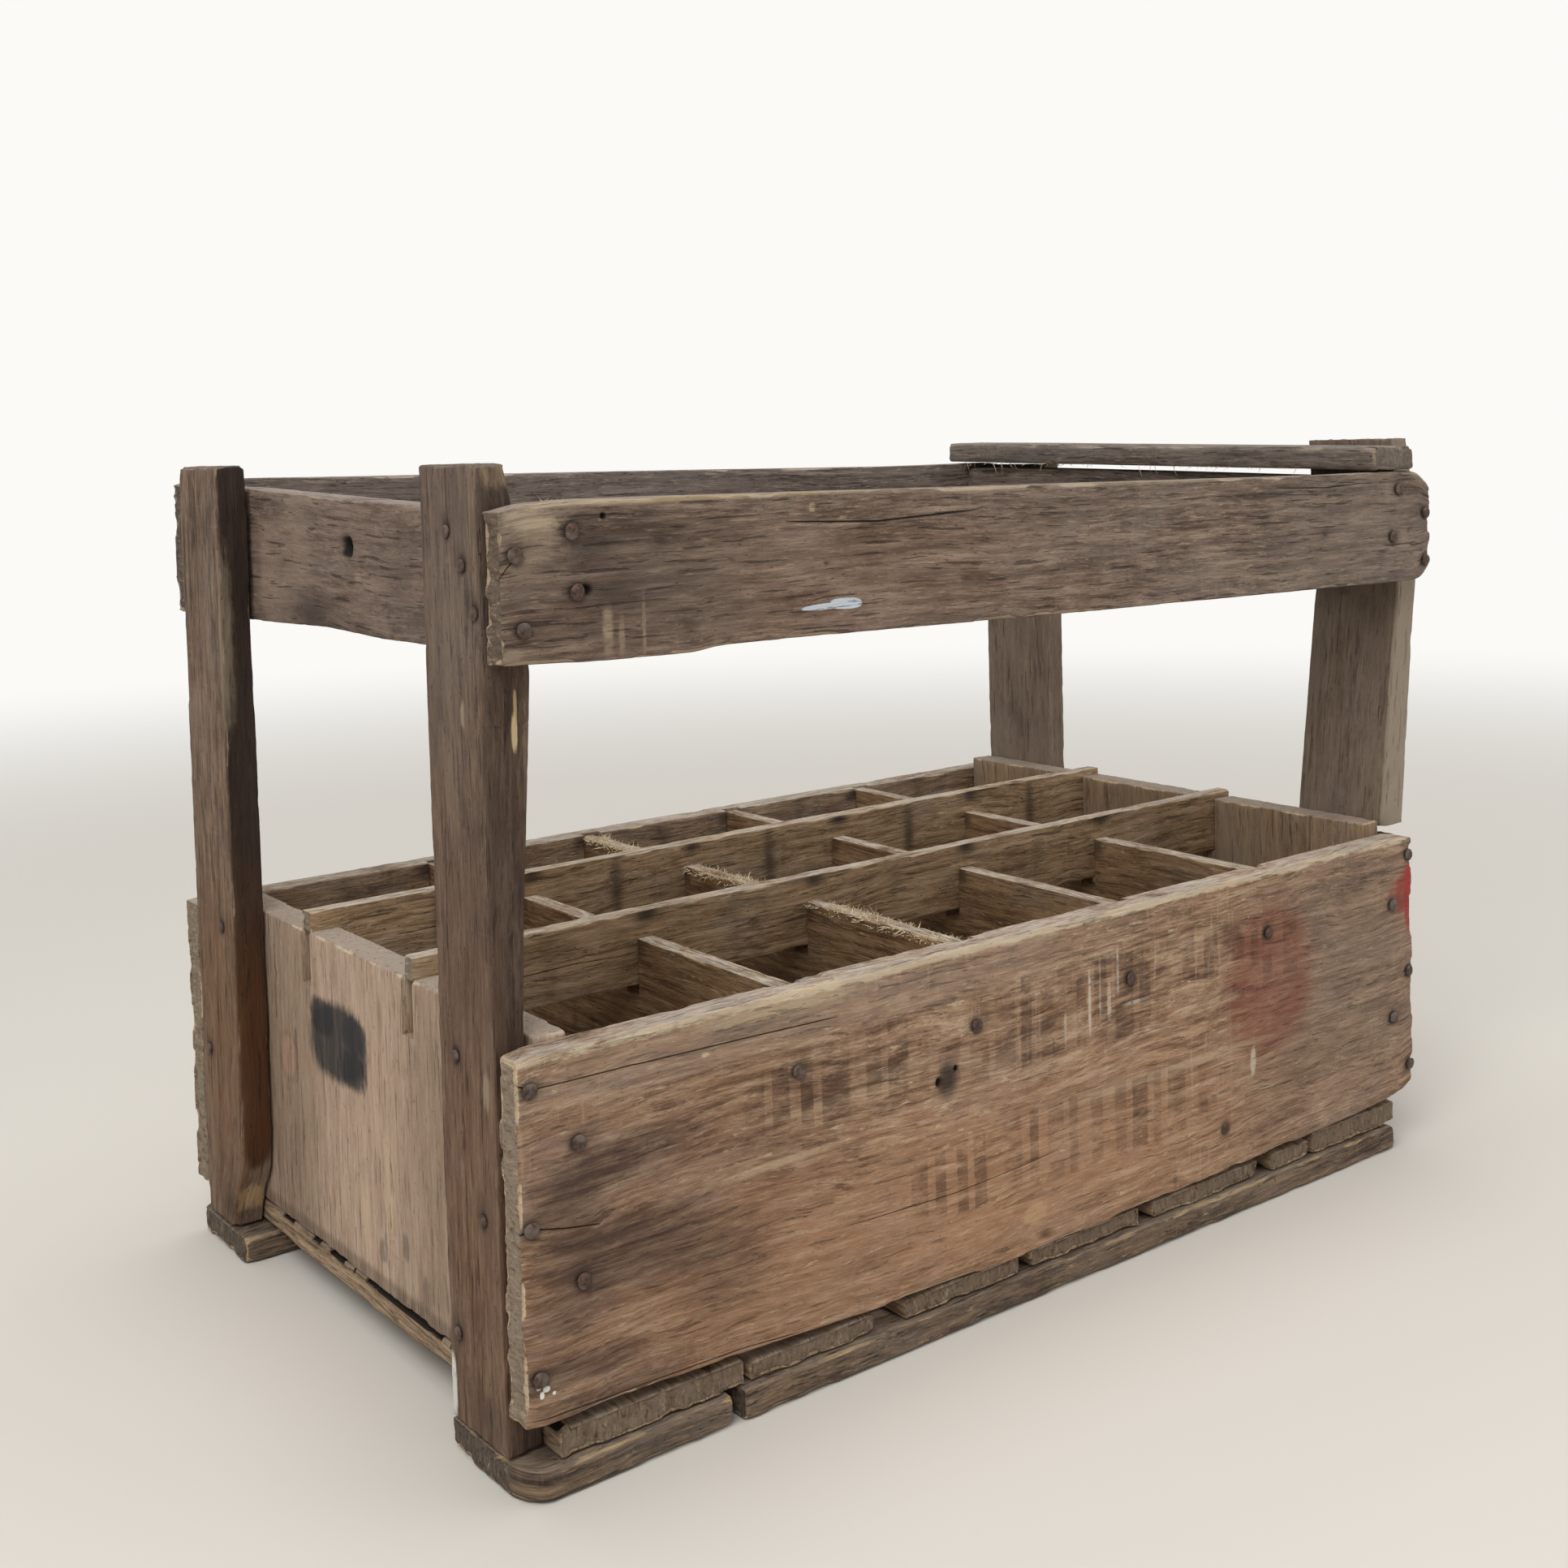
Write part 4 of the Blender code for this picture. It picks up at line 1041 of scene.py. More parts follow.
@dataclass(frozen=True)
class GhostRow:
    """A row of faded blocks of old stain.

    Attributes:
        centre: Its middle, in millimetres from the crate's corner.
        size: How far it reaches from there on each axis, in millimetres.
        block: A block's width and height, in millimetres.
        joint: The gap between blocks, in millimetres.
        strength: How much it covers, from 0 to 1.
    """

    centre: Triple
    size: Triple
    block: Pair
    joint: float
    strength: float

    def lay(self, sheet: NodeSheet, groups: WoodGroups, corner: np.ndarray, ground: tuple, colour: Socket) -> Socket:
        """Lays the row over a colour: wavering blocks inside one worn patch.

        Args:
            sheet: The material's nodes.
            groups: The shared effects.
            corner: The crate's corner.
            ground: The object's own coordinates, the place along the grain, and the grain group's outputs.
            colour: What lies under it.

        Returns:
            The new colour.
        """
        spot, place, grain = ground
        start = corner + (np.array(self.centre) - np.array(self.size)) * MM
        moved = sheet.vector("SUBTRACT", spot, tuple(start)).outputs[0]
        parts = sheet.node("SeparateXYZ", {0: moved}).outputs
        drift = sheet.minus(sheet.noise(moved, (34.0, 1.0, 1.0), 1.0), 0.5)
        uneven = sheet.plus(parts["X"], sheet.times(drift, 0.03))
        flat = sheet.node("CombineXYZ", {"X": uneven, "Y": parts["Z"]}).outputs[0]
        inputs = {"Vector": flat, "Color1": tone("ffffff"), "Color2": tone("a0a0a0"), "Mortar": tone("000000"),
                  "Scale": 1.0, "Mortar Size": self.joint * MM, "Mortar Smooth": 0.3,
                  "Brick Width": self.block[0] * MM, "Row Height": self.block[1] * MM}
        blocks = sheet.node("TexBrick", inputs, offset=0.0)
        whole = Patch(self.centre, self.size, "4a3122", self.strength, 0.12, 0.05, 0.5)
        mask = whole.mask(sheet, groups, corner, (spot, place, grain["Streak"]))
        faded = sheet.times(sheet.step(grain["Grime"], 0.60, 0.44), whole.strength)
        mask = sheet.times(sheet.times(mask, blocks.outputs["Color"]), faded)
        return sheet.blend(mask, colour, whole.colour)


@dataclass(frozen=True)
class WoodFinish:
    """One way that the crate's wood looks.

    Attributes:
        name: The material's name.
        deep: Colour of the dark grain lines.
        body: The main colour.
        pale: Colour of the light grain lines.
        grey: Colour where weather has greyed the wood.
        fresh: Colour where an edge is broken.
        end: Colour of end grain.
        soot: Colour of ingrained dirt.
        top_dust_and_light: Colour of faces that look up: dust, made pale as painted top light too.
        greyness: How much of the surface is grey, from 0 to 1.
        grime: How strongly ingrained dirt shows, from 0 to 1.
        top_dust_and_light_amount: How strongly dust and painted top light show on faces that look up, from 0 to 1.
        wear: How strongly worn edges show.
        checks: How strongly short dark checks show.
        scuffs: How strongly pale scuffs show.
        flecks: How strongly small pale splinters show.
        short: Above 1 the grain lines are shorter.
        endgrain: How strongly the rough ends show their own grain, from 0 to 1.
        wave: How much the grain lines wander.
        relief: Depth of the fine relief, in millimetres.
        patches: Patches on this finish, in painting order.
        ghosts: Rows of faded blocks.
    """

    name: str
    deep: str
    body: str
    pale: str
    grey: str
    fresh: str = "cdb48e"
    end: str = "75675a"
    soot: str = "43332a"
    top_dust_and_light: str = "a8998a"
    greyness: float = 0.4
    grime: float = 0.7
    top_dust_and_light_amount: float = 0.75
    wear: float = 1.0
    checks: float = 0.7
    scuffs: float = 0.2
    flecks: float = 0.5
    short: float = 1.0
    endgrain: float = 0.9
    wave: float = 1.0
    relief: float = 0.75
    patches: tuple[Patch, ...] = ()
    ghosts: tuple[GhostRow, ...] = ()

    def build(self, groups: WoodGroups, corner: np.ndarray) -> bpy.types.Material:
        """Builds the material: wood, patches (among them painted shade and painted light), dust with painted top light,
        checks, end grain, broken edges, stains, and painted shade in hollows and holes.

        Args:
            groups: The shared effects.
            corner: The crate's near left corner on the ground, in the row frame.

        Returns:
            The material.
        """
        material, sheet, shader = new_material(self.name)
        place = sheet.node("Attribute", attribute_name="place").outputs["Vector"]
        marks = sheet.node("Attribute", attribute_name="marks").outputs
        wear, stain, hollow = sheet.node("SeparateColor", {0: marks["Color"]}).outputs
        grain = groups.grain.place(sheet, {"Place": place, "Wave": self.wave, "Short": self.short}).outputs
        worn = groups.wear.place(sheet, {"Place": place, "Wear": wear, "Amount": self.wear}).outputs["Mask"]
        colour = self.weathered(sheet, grain)
        spot = sheet.node("TexCoord").outputs["Object"]
        for patch in self.patches:
            mask = patch.mask(sheet, groups, corner, (spot, place, grain["Streak"]))
            colour = sheet.blend(sheet.times(mask, patch.strength), colour, patch.colour)
        for ghost in self.ghosts:
            colour = ghost.lay(sheet, groups, corner, (spot, place, grain), colour)
        # Faces that look up take a pale dust colour, which is dust and also painted top light.
        upward = sheet.node("Attribute", attribute_name="upward").outputs["Fac"]
        top_dust_and_light_mask = sheet.times(upward, sheet.step(grain["Grime"], 0.36, 0.56, self.top_dust_and_light_amount))
        colour = sheet.blend(top_dust_and_light_mask, colour, sheet.blend(sheet.step(grain["Fibre"], 0.38, 0.62), self.grey, self.top_dust_and_light))
        dark = sheet.math("MAXIMUM", grain["Check"], sheet.times(grain["Pit"], 0.75))
        colour = sheet.blend(sheet.times(dark, self.checks), colour, SOOT_BLACK)
        end = sheet.times(marks["Alpha"], self.endgrain)
        colour = sheet.blend(end, colour, self.end_grain(sheet, place))
        colour = sheet.blend(worn, colour, sheet.blend(sheet.step(grain["Fibre"], 0.3, 0.7), self.pale, self.fresh))
        # Stains darken the wood; where a deep hole is stained to black this darkening is painted shade.
        ragged = sheet.minus(grain["Streak"], 0.5)
        stain_and_hole_shade_mask = sheet.plus(stain, sheet.times(ragged, sheet.times(stain, 1.5)))
        colour = sheet.blend(sheet.step(stain_and_hole_shade_mask, 0.02, 0.9, 0.92), colour, STAIN_AND_HOLE_SHADE_BLACK)
        # Painted shade: cracks, deep holes and the gnawed notch turn near black.
        colour = sheet.blend(sheet.step(hollow, 0.15, 0.85, 0.93), colour, HOLLOW_SHADE_BLACK)
        shader.inputs["Specular IOR Level"].default_value = 0.35
        sheet.finish(shader, colour, grain["Streak"], (0.93, 0.70), self.relief, grain["Height"])
        return material

    def weathered(self, sheet: NodeSheet, grain: dict[str, Socket]) -> Socket:
        """The bare wood's colour: grain, greyed wood, bleaching and ingrained dirt, fibres and scuffs.

        Args:
            sheet: The material's nodes.
            grain: The grain group's outputs.

        Returns:
            The colour.
        """
        colour = sheet.blend(sheet.step(grain["Streak"], 0.36, 0.53), self.deep, self.body)
        colour = sheet.blend(sheet.step(grain["Streak"], 0.50, 0.66, 0.85), colour, self.pale)
        grey = sheet.step(grain["Blotch"], 0.62 - self.greyness * 0.45, 0.76 - self.greyness * 0.35, 0.8)
        colour = sheet.blend(grey, colour, sheet.blend(grain["Streak"], self.grey, colour))
        for layer, low, high, top, veil in (
                ("Grime", 0.54, 0.68, 0.45, self.pale), ("Grime", 0.49, 0.33, self.grime, self.soot),
                ("Blotch", 0.46, 0.30, 0.6 * self.grime, self.soot), ("Fibre", 0.47, 0.31, 0.90, self.deep),
                ("Fibre", 0.54, 0.68, 0.80, self.pale)):
            colour = sheet.blend(sheet.step(grain[layer], low, high, top), colour, veil)
        colour = sheet.blend(sheet.times(grain["Scuff"], self.scuffs), colour, self.pale)
        return sheet.blend(sheet.times(grain["Fleck"], self.flecks), colour, self.fresh)

    def end_grain(self, sheet: NodeSheet, place: Socket) -> Socket:
        """The sawn ends' colour.

        Args:
            sheet: The material's nodes.
            place: The place along the timber's grain.

        Returns:
            The colour.
        """
        layer = sheet.noise(place, (150.0, 520.0, 160.0), 6.0, 0.78)
        ends = sheet.blend(sheet.step(layer, 0.34, 0.50), self.deep, self.end)
        ends = sheet.blend(sheet.step(layer, 0.54, 0.68, 0.7), ends, self.fresh)
        return sheet.blend(sheet.step(layer, 0.36, 0.28, 0.8), ends, SOOT_BLACK)


@dataclass(frozen=True)
class IronFinish:
    """Rusty nail iron.

    Attributes:
        name: The material's name.
        scale: Colour of the dark scale.
        rust: Colour of the brown rust.
        rubbed: Colour of the rubbed crown.
    """

    name: str = "rusty_nail_iron"
    scale: str = "3a302c"
    rust: str = "5e4335"
    rubbed: str = "6d645e"

    def build(self) -> bpy.types.Material:
        """Builds the material on the object's own coordinates.

        Returns:
            The material.
        """
        material, sheet, shader = new_material(self.name)
        spot = sheet.node("TexCoord").outputs["Object"]
        rust = sheet.noise(spot, (620.0, 620.0, 620.0), 5.0, 0.7)
        crown = sheet.noise(spot, (140.0, 140.0, 140.0), 2.0)
        colour = sheet.blend(sheet.step(rust, 0.4, 0.62), self.scale, self.rust)
        colour = sheet.blend(sheet.step(crown, 0.48, 0.66, 0.7), colour, self.rubbed)
        sheet.feed(shader.inputs["Metallic"], sheet.step(rust, 0.7, 0.35, 0.55))
        sheet.finish(shader, colour, rust, (0.5, 0.85), 0.25, rust)
        return material


@dataclass
class NailMaker:
    """Makes round nails with flat, hammered heads.

    Attributes:
        material: The iron.
        head: Radius of the head, in metres.
        shank: Radius of the shank, in metres.
        sectors: Points round the nail.
    """

    material: bpy.types.Material
    head: float = 3.1 * MM
    shank: float = 1.1 * MM
    sectors: int = 20

    def shape(self, tip: np.ndarray, outward: np.ndarray, length: float, seed: int,
              scale: float) -> tuple[np.ndarray, np.ndarray]:
        """One nail's points and faces.

        Formula: a profile of radius and height is turned round the outward direction. The head's rim
        swells and shrinks with the turn by a few sines, and its crown is dented by noise. Each end
        closes in one point.

        Args:
            tip: The middle of the head's top.
            outward: The unit way out of the wood.
            length: From the head's top to the point.
            seed: Chooses the dents.
            scale: Shrinks a head that has rusted into the wood.

        Returns:
            Points, and faces of three corners.
        """
        head, shank = self.head * scale, self.shank
        profile = np.array([(0.35 * head, 0.02 * MM), (0.7 * head, -0.08 * MM), (0.9 * head, -0.25 * MM),
                            (head, -0.55 * MM), (0.98 * head, -0.95 * MM), (0.8 * head, -1.15 * MM),
                            (shank, -1.3 * MM), (shank, 2.5 * MM - length), (0.4 * shank, 0.6 * MM - length)])
        radius, height = profile[:, None, 0, None], profile[:, None, 1, None]
        turn = np.linspace(0, 2 * np.pi, self.sectors, endpoint=False)
        wobble = 1 + 0.035 * np.sin(2 * turn + seed) + 0.025 * np.sin(3 * turn + 2.1 * seed)
        side = np.cross(outward, (0.3, 0.5, 0.81))
        side /= np.linalg.norm(side)
        other = np.cross(outward, side)
        rings = radius * wobble[None, :, None] * (
            np.cos(turn)[None, :, None] * side + np.sin(turn)[None, :, None] * other)
        tilt = 0.03 * (np.cos(turn + seed))[None, :, None] * radius * outward
        points = (tip + rings + tilt + height * outward).reshape(-1, 3)
        ends = np.array([tip - 0.05 * MM * outward, tip - length * outward])
        dent = lattice_noise(points / (1.3 * MM), seed) * 0.12 * MM
        points -= np.abs(dent)[:, None] * outward
        around = np.arange(self.sectors)
        after = (around + 1) % self.sectors
        top, last = np.full(self.sectors, len(points)), len(points) - self.sectors
        faces = np.concatenate([tube(len(profile), self.sectors), np.stack([around, after, top], axis=1),
                                np.stack([last + after, last + around, top + 1], axis=1)])
        return np.concatenate([points, ends]), faces

    def build(self, name: str, heads: list[tuple[np.ndarray, np.ndarray, float]], seed: int,
              node: str | None = None, scale: float = 1.0) -> bpy.types.Object:
        """Makes one piece of one or more nails.

        Args:
            name: The piece's name.
            heads: For each nail the middle of its head, the way out of the wood and its length.
            seed: Chooses the dents.
            node: The CAD node that it stands for, if there is one.
            scale: Shrinks the heads.

        Returns:
            The object.
        """
        made = [self.shape(*head, seed + number, scale) for number, head in enumerate(heads)]
        starts = np.cumsum([0] + [len(points) for points, _ in made])
        faces = np.concatenate([split + start for (_, split), start in zip(made, starts)])
        thing = place_mesh(name, np.concatenate([points for points, _ in made]), faces, self.material)
        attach(thing, "root")
        if node:
            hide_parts(node)
        LOG.info("%s: %d nails", name, len(heads))
        return thing


@dataclass
class Crate:
    """What every sub-assembly shares.

    Attributes:
        corner: The crate's near left corner on the ground, in the row frame.
        woods: The wood materials by name.
        nails: What makes the nails.
        names: The CAD nodes' names in order.
    """

    corner: np.ndarray
    woods: dict[str, bpy.types.Material]
    nails: NailMaker
    names: list[str]

    def box(self, node: str) -> tuple[np.ndarray, np.ndarray]:
        """A node's lowest and highest corners as arrays."""
        low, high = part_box(node)
        return np.array(low), np.array(high)

    def timber(self, name: str, node: str, lay: Lay, wood: str, slot: str, seed: int, **shape: object) -> None:
        """Builds one worn piece; shape gives any of the timber's other fields."""
        Timber(name, node, lay, self.woods[wood], slot, self.corner, seed, **shape).build()

    def strip_slots(self, node: str, lay: Lay, below: float) -> list[Notch]:
        """The slots in the top edge of a panel or divider, round the long strips' own boxes.

        Args:
            node: The panel's or divider's CAD node.
            lay: Its axes.
            below: How far a slot reaches below its strip, in metres.

        Returns:
            One notch for each strip.
        """
        low, high = self.box(node)
        strips = [self.box(strip) for strip in ("front_long_divider", "back_long_divider")]
        return [cut(lay, (low[0] - BEYOND, first[1] - GAP, first[2] - below),
                    (high[0] + BEYOND, last[1] + GAP, high[2] + BEYOND)) for first, last in strips]

    def nail_spots(self, prefix: str, lay: Lay, numbers: range | None = None) -> list[Blemish]:
        """Dents and dark stains round the nails whose CAD nodes start with a prefix.

        Args:
            prefix: The start of the nodes' names.
            lay: The axes of the timber that they are driven into.
            numbers: Which of the nails, or all.

        Returns:
            One dent and one dark run, longer or shorter with a sine of its place, for each nail.
        """
        spots = []
        for name in self.names:
            number = name[len(prefix):]
            if not name.startswith(prefix) or not number.isdigit() or (numbers and int(number) not in numbers):
                continue
            low, high = self.box(name)
            middle = ((low + high) / 2 - self.corner) / MM
            along, across = middle[lay.axes[0]], middle[lay.axes[1]]
            run = 9 + 5 * math.sin(along * 0.7)
            spots += blemishes((along, across, 5.2, 4.4, 0.75, 0.45, 2.4),
                               (along + 3.5, across + 1, run, 5.5, 0.42, 0.1, 1.6))
        return spots


@dataclass
class SideBoards:
    """The front and back boards, with grooves for the cross dividers inside.

    Attributes:
        crate: What the crate shares.
        groove_depth: How deep a divider's groove is, in metres.
        groove_slack: The open gap beside each divider, in metres.
    """

    crate: Crate
    groove_depth: float = 5 * MM
    groove_slack: float = 1.9 * MM

    def grooves(self, node: str, inner_high: bool) -> list[Notch]:
        """The dado grooves of one board, round the cross dividers' own boxes.

        Args:
            node: The board's CAD node.
            inner_high: Whether the inner face is the one at high Y.

        Returns:
            One notch for each cross divider.
        """
        low, high = self.crate.box(node)
        inner = (high[1] - self.groove_depth, high[1] + BEYOND)
        if not inner_high:
            inner = (low[1] - BEYOND, low[1] + self.groove_depth)
        dividers = [self.crate.box(f"cross_divider_{number}") for number in range(1, 5)]
        return [cut(Lay.BOARD_ALONG, (first[0] - GAP, inner[0], low[2] - BEYOND),
                    (last[0] + self.groove_slack, inner[1], high[2] + BEYOND)) for first, last in dividers]

    def build_front(self) -> None:
        """Builds the front board with its stains, knot and splits."""
        cracks = [Crack(((0, 158.4), (9, 155.6), (40, 155.2), (76, 154.3), (120, 153.3), (152, 152.4)), 2.2, 0.4),
                  Crack(((0, 103.4), (6, 104.2), (20, 101.0), (36, 98.4)), 1.8, 0.4),
                  Crack(((3, 33.6), (46, 31.9), (97, 30.4), (128, 27.8)), 1.8, 0.45),
                  Crack(((238, 84.0), (300, 86.5), (352, 86.0)), 0.9, 0.3),
                  Crack(((420, 118.0), (470, 119.5), (520, 118.5)), 0.8, 0.3),
                  Crack(((150, 64.0), (215, 61.5), (280, 64.5)), 0.7, 0.3),
                  Crack(((492, 70.0), (535, 68.5), (550.4, 69.0)), 1.4, 0.35)]
        spots = self.crate.nail_spots("front_board_nail_", Lay.BOARD_ALONG)
        spots += blemishes(
            # The knot's two small holes are stained to black, which is painted shade inside them.
            (210.7, 112.3, 7, 9, 0.75, 0.5, 3.0), (206, 112, 1.8, 2.0, 1.0, 3.0, 4.0),
            (216, 116, 1.3, 1.5, 1.0, 2.4, 4.0), (393.4, 45.6, 4, 5, 0.7, 0.5), (268, 28.7, 5, 2.5, 0.6, 0.8),
            (356.4, 29.5, 3, 2, 0.7, 0.6))
        self.crate.timber("front_board", "front_side_board", Lay.BOARD_ALONG, "front_board", "board", 3, pitch=1.64,
                          edge=0.9, chip=2.2, chip_bias=0.12, warp=0.45, end_rough=0.8, follow=(True, False),
                          blemishes=spots, cracks=cracks, notches=self.grooves("front_side_board", True))

    def build_back(self) -> None:
        """Builds the back board, with dark runs down the middle of each cell."""
        stains = [Blemish((x, 138), (6.5, 34), 0.6) for x in (80, 181, 279, 380, 478)]
        stains += [Blemish((x + 14, 146), (4.0, 22), 0.35) for x in (80, 279, 380)]
        stains += [Blemish((x, 164), (9, 5), 0.75) for x in (127, 224, 325, 425)]
        cracks = [Crack(((0, 60), (60, 61), (130, 58)), 1.2, 0.35, Side.HIGH),
                  Crack(((350, 128), (450, 131), (550.4, 129)), 1.6, 0.4, Side.HIGH)]
        self.crate.timber("back_board", "back_side_board", Lay.BOARD_ALONG, "side_board", "board", 4, pitch=2.1,
                          chip=1.6, chip_bias=0.05, end_rough=0.9, follow=(True, False), blemishes=stains,
                          cracks=cracks, notches=self.grooves("back_side_board", False))

    def build(self) -> None:
        """Builds both boards."""
        self.build_front()
        self.build_back()


@dataclass
class EndPanels:
    """The end panels, with upright grain and saw slots for the long strips.

    Attributes:
        crate: What the crate shares.
        edge: Radius of the panels' edges, in millimetres.
    """

    crate: Crate
    edge: float = 0.9

    def build(self) -> None:
        """Builds both panels."""
        cracks = [Crack(((122, 230.5), (150, 229.8), (169.5, 230)), 1.4, 0.35),
                  Crack(((114, 118.0), (130, 118.4), (146, 118.0)), 1.2, 0.35),
                  Crack(((25, 70), (70, 69), (110, 70.5)), 0.8, 0.3),
                  Crack(((40, 200), (80, 201), (118, 200)), 0.6, 0.3)]
        spots = blemishes(
            (146, 145.4, 15, 2.6, 0.4), (104, 246.5, 7, 4, 0.28, 0.2), (140, 222, 6, 2, 0.5),
            (137, 113, 8, 2, 0.45))
        self.panel("left", "left_panel", 5, pitch=1.7, chip=1.2, ridge=0.1, blemishes=spots, cracks=cracks)
        self.panel("right", "end_panel", 6, pitch=2.2, chip=1.0, ridge=0.08)

    def panel(self, side: str, wood: str, seed: int, **shape: object) -> None:
        """Builds the panel of one side."""
        node = f"{side}_end_panel"
        self.crate.timber(f"{side}_panel", node, Lay.UPRIGHT, wood, "panel", seed, edge=self.edge, end_rough=0.15,
                          follow=(False, False), notches=self.crate.strip_slots(node, Lay.UPRIGHT, GAP), **shape)


@dataclass
class CornerPosts:
    """The four posts and the broken one's stump.

    Attributes:
        crate: What the crate shares.
        crown: How much the left posts' tops are rounded by wear, in millimetres.
        edge: Radius of the left posts' edges, in millimetres.
    """

    crate: Crate
    crown: float = 0.8
    edge: float = 1.0

    def build_left(self) -> None:
        """Builds the two left posts, whose tops are worn round."""
        near = self.crate.nail_spots("left_post_nail_", Lay.UPRIGHT, numbers=range(1, 7))
        near += blemishes(
            (332, 24, 12, 2.5, 0.6, 0.6), (318, 17.5, 5, 1.6, 0.5, 0.5), (24, 30, 16, 22, 0.4),
            (362, 30, 10, 14, 0.3))
        far = self.crate.nail_spots("left_post_nail_", Lay.UPRIGHT, numbers=range(7, 9))
        far += blemishes(
            (26, 285, 12, 22, 0.5), (300, 300, 30, 5, 0.35), (346, 299, 9, 2.2, 0.7, 0.8))
        near_cracks = [Crack(((286, 18.0), (318, 20.5), (345, 19.5), (372, 21.0)), 1.8, 0.4),
                       Crack(((150, 47.0), (200, 48.5), (262, 46.5)), 1.1, 0.3),
                       Crack(((30, 33.0), (60, 32.0), (104, 33.5)), 0.9, 0.3)]
        far_cracks = [Crack(((250, 296), (300, 294.5), (352, 297)), 1.4, 0.35),
                      Crack(((60, 290), (110, 291.5), (160, 289)), 1.1, 0.3)]
        worn = dict(edge=self.edge, crown=self.crown, ridge=0.3, warp=0.5, end_rough=0.3)
        self.crate.timber("post_near_left", "near_left_post", Lay.UPRIGHT, "near_post", "post", 7, pitch=1.4,
                          chip=1.3, rise=1.3, blemishes=near, cracks=near_cracks, **worn)
        self.crate.timber("post_far_left", "far_left_post", Lay.UPRIGHT, "far_post", "post", 8, pitch=1.5,
                          chip=1.7, chip_bias=0.1, rise=1.85, blemishes=far, cracks=far_cracks, **worn)

    def build(self) -> None:
        """Builds the five pieces."""
        self.build_left()
        spots = blemishes(
            (330, 22, 7, 5, 0.4), (296, 50, 4, 6, 0.35))
        for seed, name, node, shape in (
                (9, "near_right", "near_right_post_upper",
                 dict(pitch=1.5, ridge=0.12, end_rough=1.2, blemishes=spots)),
                (10, "stump", "near_right_post_stump", dict(pitch=2.0, chip=1.4, chip_bias=0.05, end_rough=1.3)),
                (11, "far_right", "far_right_post", dict(pitch=1.7, chip=1.0, ridge=0.12, end_rough=0.4))):
            self.crate.timber(f"post_{name}", node, Lay.UPRIGHT, "right_post", "post", seed, edge=0.9, **shape)


@dataclass
class CarryingFrame:
    """The long rails, the cross rails and the plank on top.

    Attributes:
        crate: What the crate shares.
        edge: Radius of the long rails' edges, in millimetres.
    """

    crate: Crate
    edge: float = 1.1

    def build_long_rails(self) -> None:
        """Builds the front rail, with its splits and the hole beside a nail, and the back rail."""
        spots = self.crate.nail_spots("front_rail_nail_", Lay.BOARD_ALONG)
        spots += blemishes(
            # The first and the third spot are holes stained to black: painted shade inside them.
            (38.6, 335.2, 2.6, 2.1, 1.0, 4.0, 4.0), (72, 352, 6, 4, 0.55, 0.4),
            (46.5, 362, 1.3, 1.3, 1.0, 2.0, 4.0), (152, 338, 1.2, 1.2, 0.8, 0.4), (50, 333, 20, 7, 0.5),
            (40, 352, 13, 9, 0.5), (480, 333, 4, 2.5, 0.6, 0.5), (66, 362, 5, 2.5, 0.4, 0.5))
        cracks = [Crack(((1.4, 340.5), (5, 344.5), (9, 348.2)), 1.8, 0.45),
                  Crack(((10, 347.6), (45, 346.5), (90, 348)), 1.1, 0.3),
                  Crack(((130, 356), (180, 354), (240, 356.5)), 1.0, 0.3),
                  Crack(((260, 346), (330, 344.5), (396, 346.5)), 1.0, 0.3),
                  Crack(((330, 331), (390, 329), (440, 331)), 1.0, 0.3),
                  Crack(((500, 336.2), (515, 335.4), (531, 331.2)), 1.8, 0.45),
                  Crack(((548, 343.4), (558, 342.6), (571, 341.6)), 1.8, 0.45),
                  Crack(((440, 358), (480, 356.8), (512, 358)), 0.9, 0.3)]
        back_cracks = [Crack(((60, 345), (160, 347), (260, 344)), 1.0, 0.3),
                       Crack(((300, 330), (400, 332), (500, 329)), 1.2, 0.35, Side.HIGH)]
        self.crate.timber("rail_front", "front_top_rail", Lay.BOARD_ALONG, "front_rail", "rail", 12, pitch=1.5,
                          edge=self.edge, chip=2.2, chip_bias=0.12, ridge=0.34, warp=0.55, end_rough=1.1,
                          follow=(True, False), blemishes=spots, cracks=cracks)
        self.crate.timber("rail_back", "back_top_rail", Lay.BOARD_ALONG, "back_rail", "rail", 13, pitch=2.0,
                          edge=self.edge, chip=1.7, chip_bias=0.05, ridge=0.3, end_rough=1.0,
                          follow=(True, False), cracks=back_cracks)

    def build_cross_rails(self) -> None:
        """Builds the two cross rails and the plank; the left one has an old screw hole."""
        spots = blemishes(
            # The first spot, the screw hole, is stained to black: painted shade inside it.
            (168.0, 347.2, 5.0, 4.4, 1.0, 7.0, 6.0), (167, 343, 9, 13, 0.4), (205, 316, 26, 9, 0.55),
            (262, 340, 5, 24, 0.25), (120, 330, 5, 4, 0.2), (90, 318, 30, 6, 0.5))
        timber = self.crate.timber
        timber("rail_left", "left_cross_rail", Lay.BOARD_ACROSS, "cross_rail", "rail", 14, edge=1.4, chip=1.8,
               ridge=0.35, warp=0.5, blemishes=spots)
        timber("rail_right", "right_cross_rail", Lay.BOARD_ACROSS, "rail", "rail", 15, pitch=1.8, chip=2.4,
               chip_bias=0.2, ridge=0.35)
        timber("top_plank", "right_top_plank", Lay.FLAT_ACROSS, "plank", "rail", 16, edge=2.2, chip=1.8,
               chip_bias=0.1, ridge=0.3, warp=0.5, end_rough=0.35)

    def build(self) -> None:
        """Builds the five pieces."""
        self.build_long_rails()
        self.build_cross_rails()


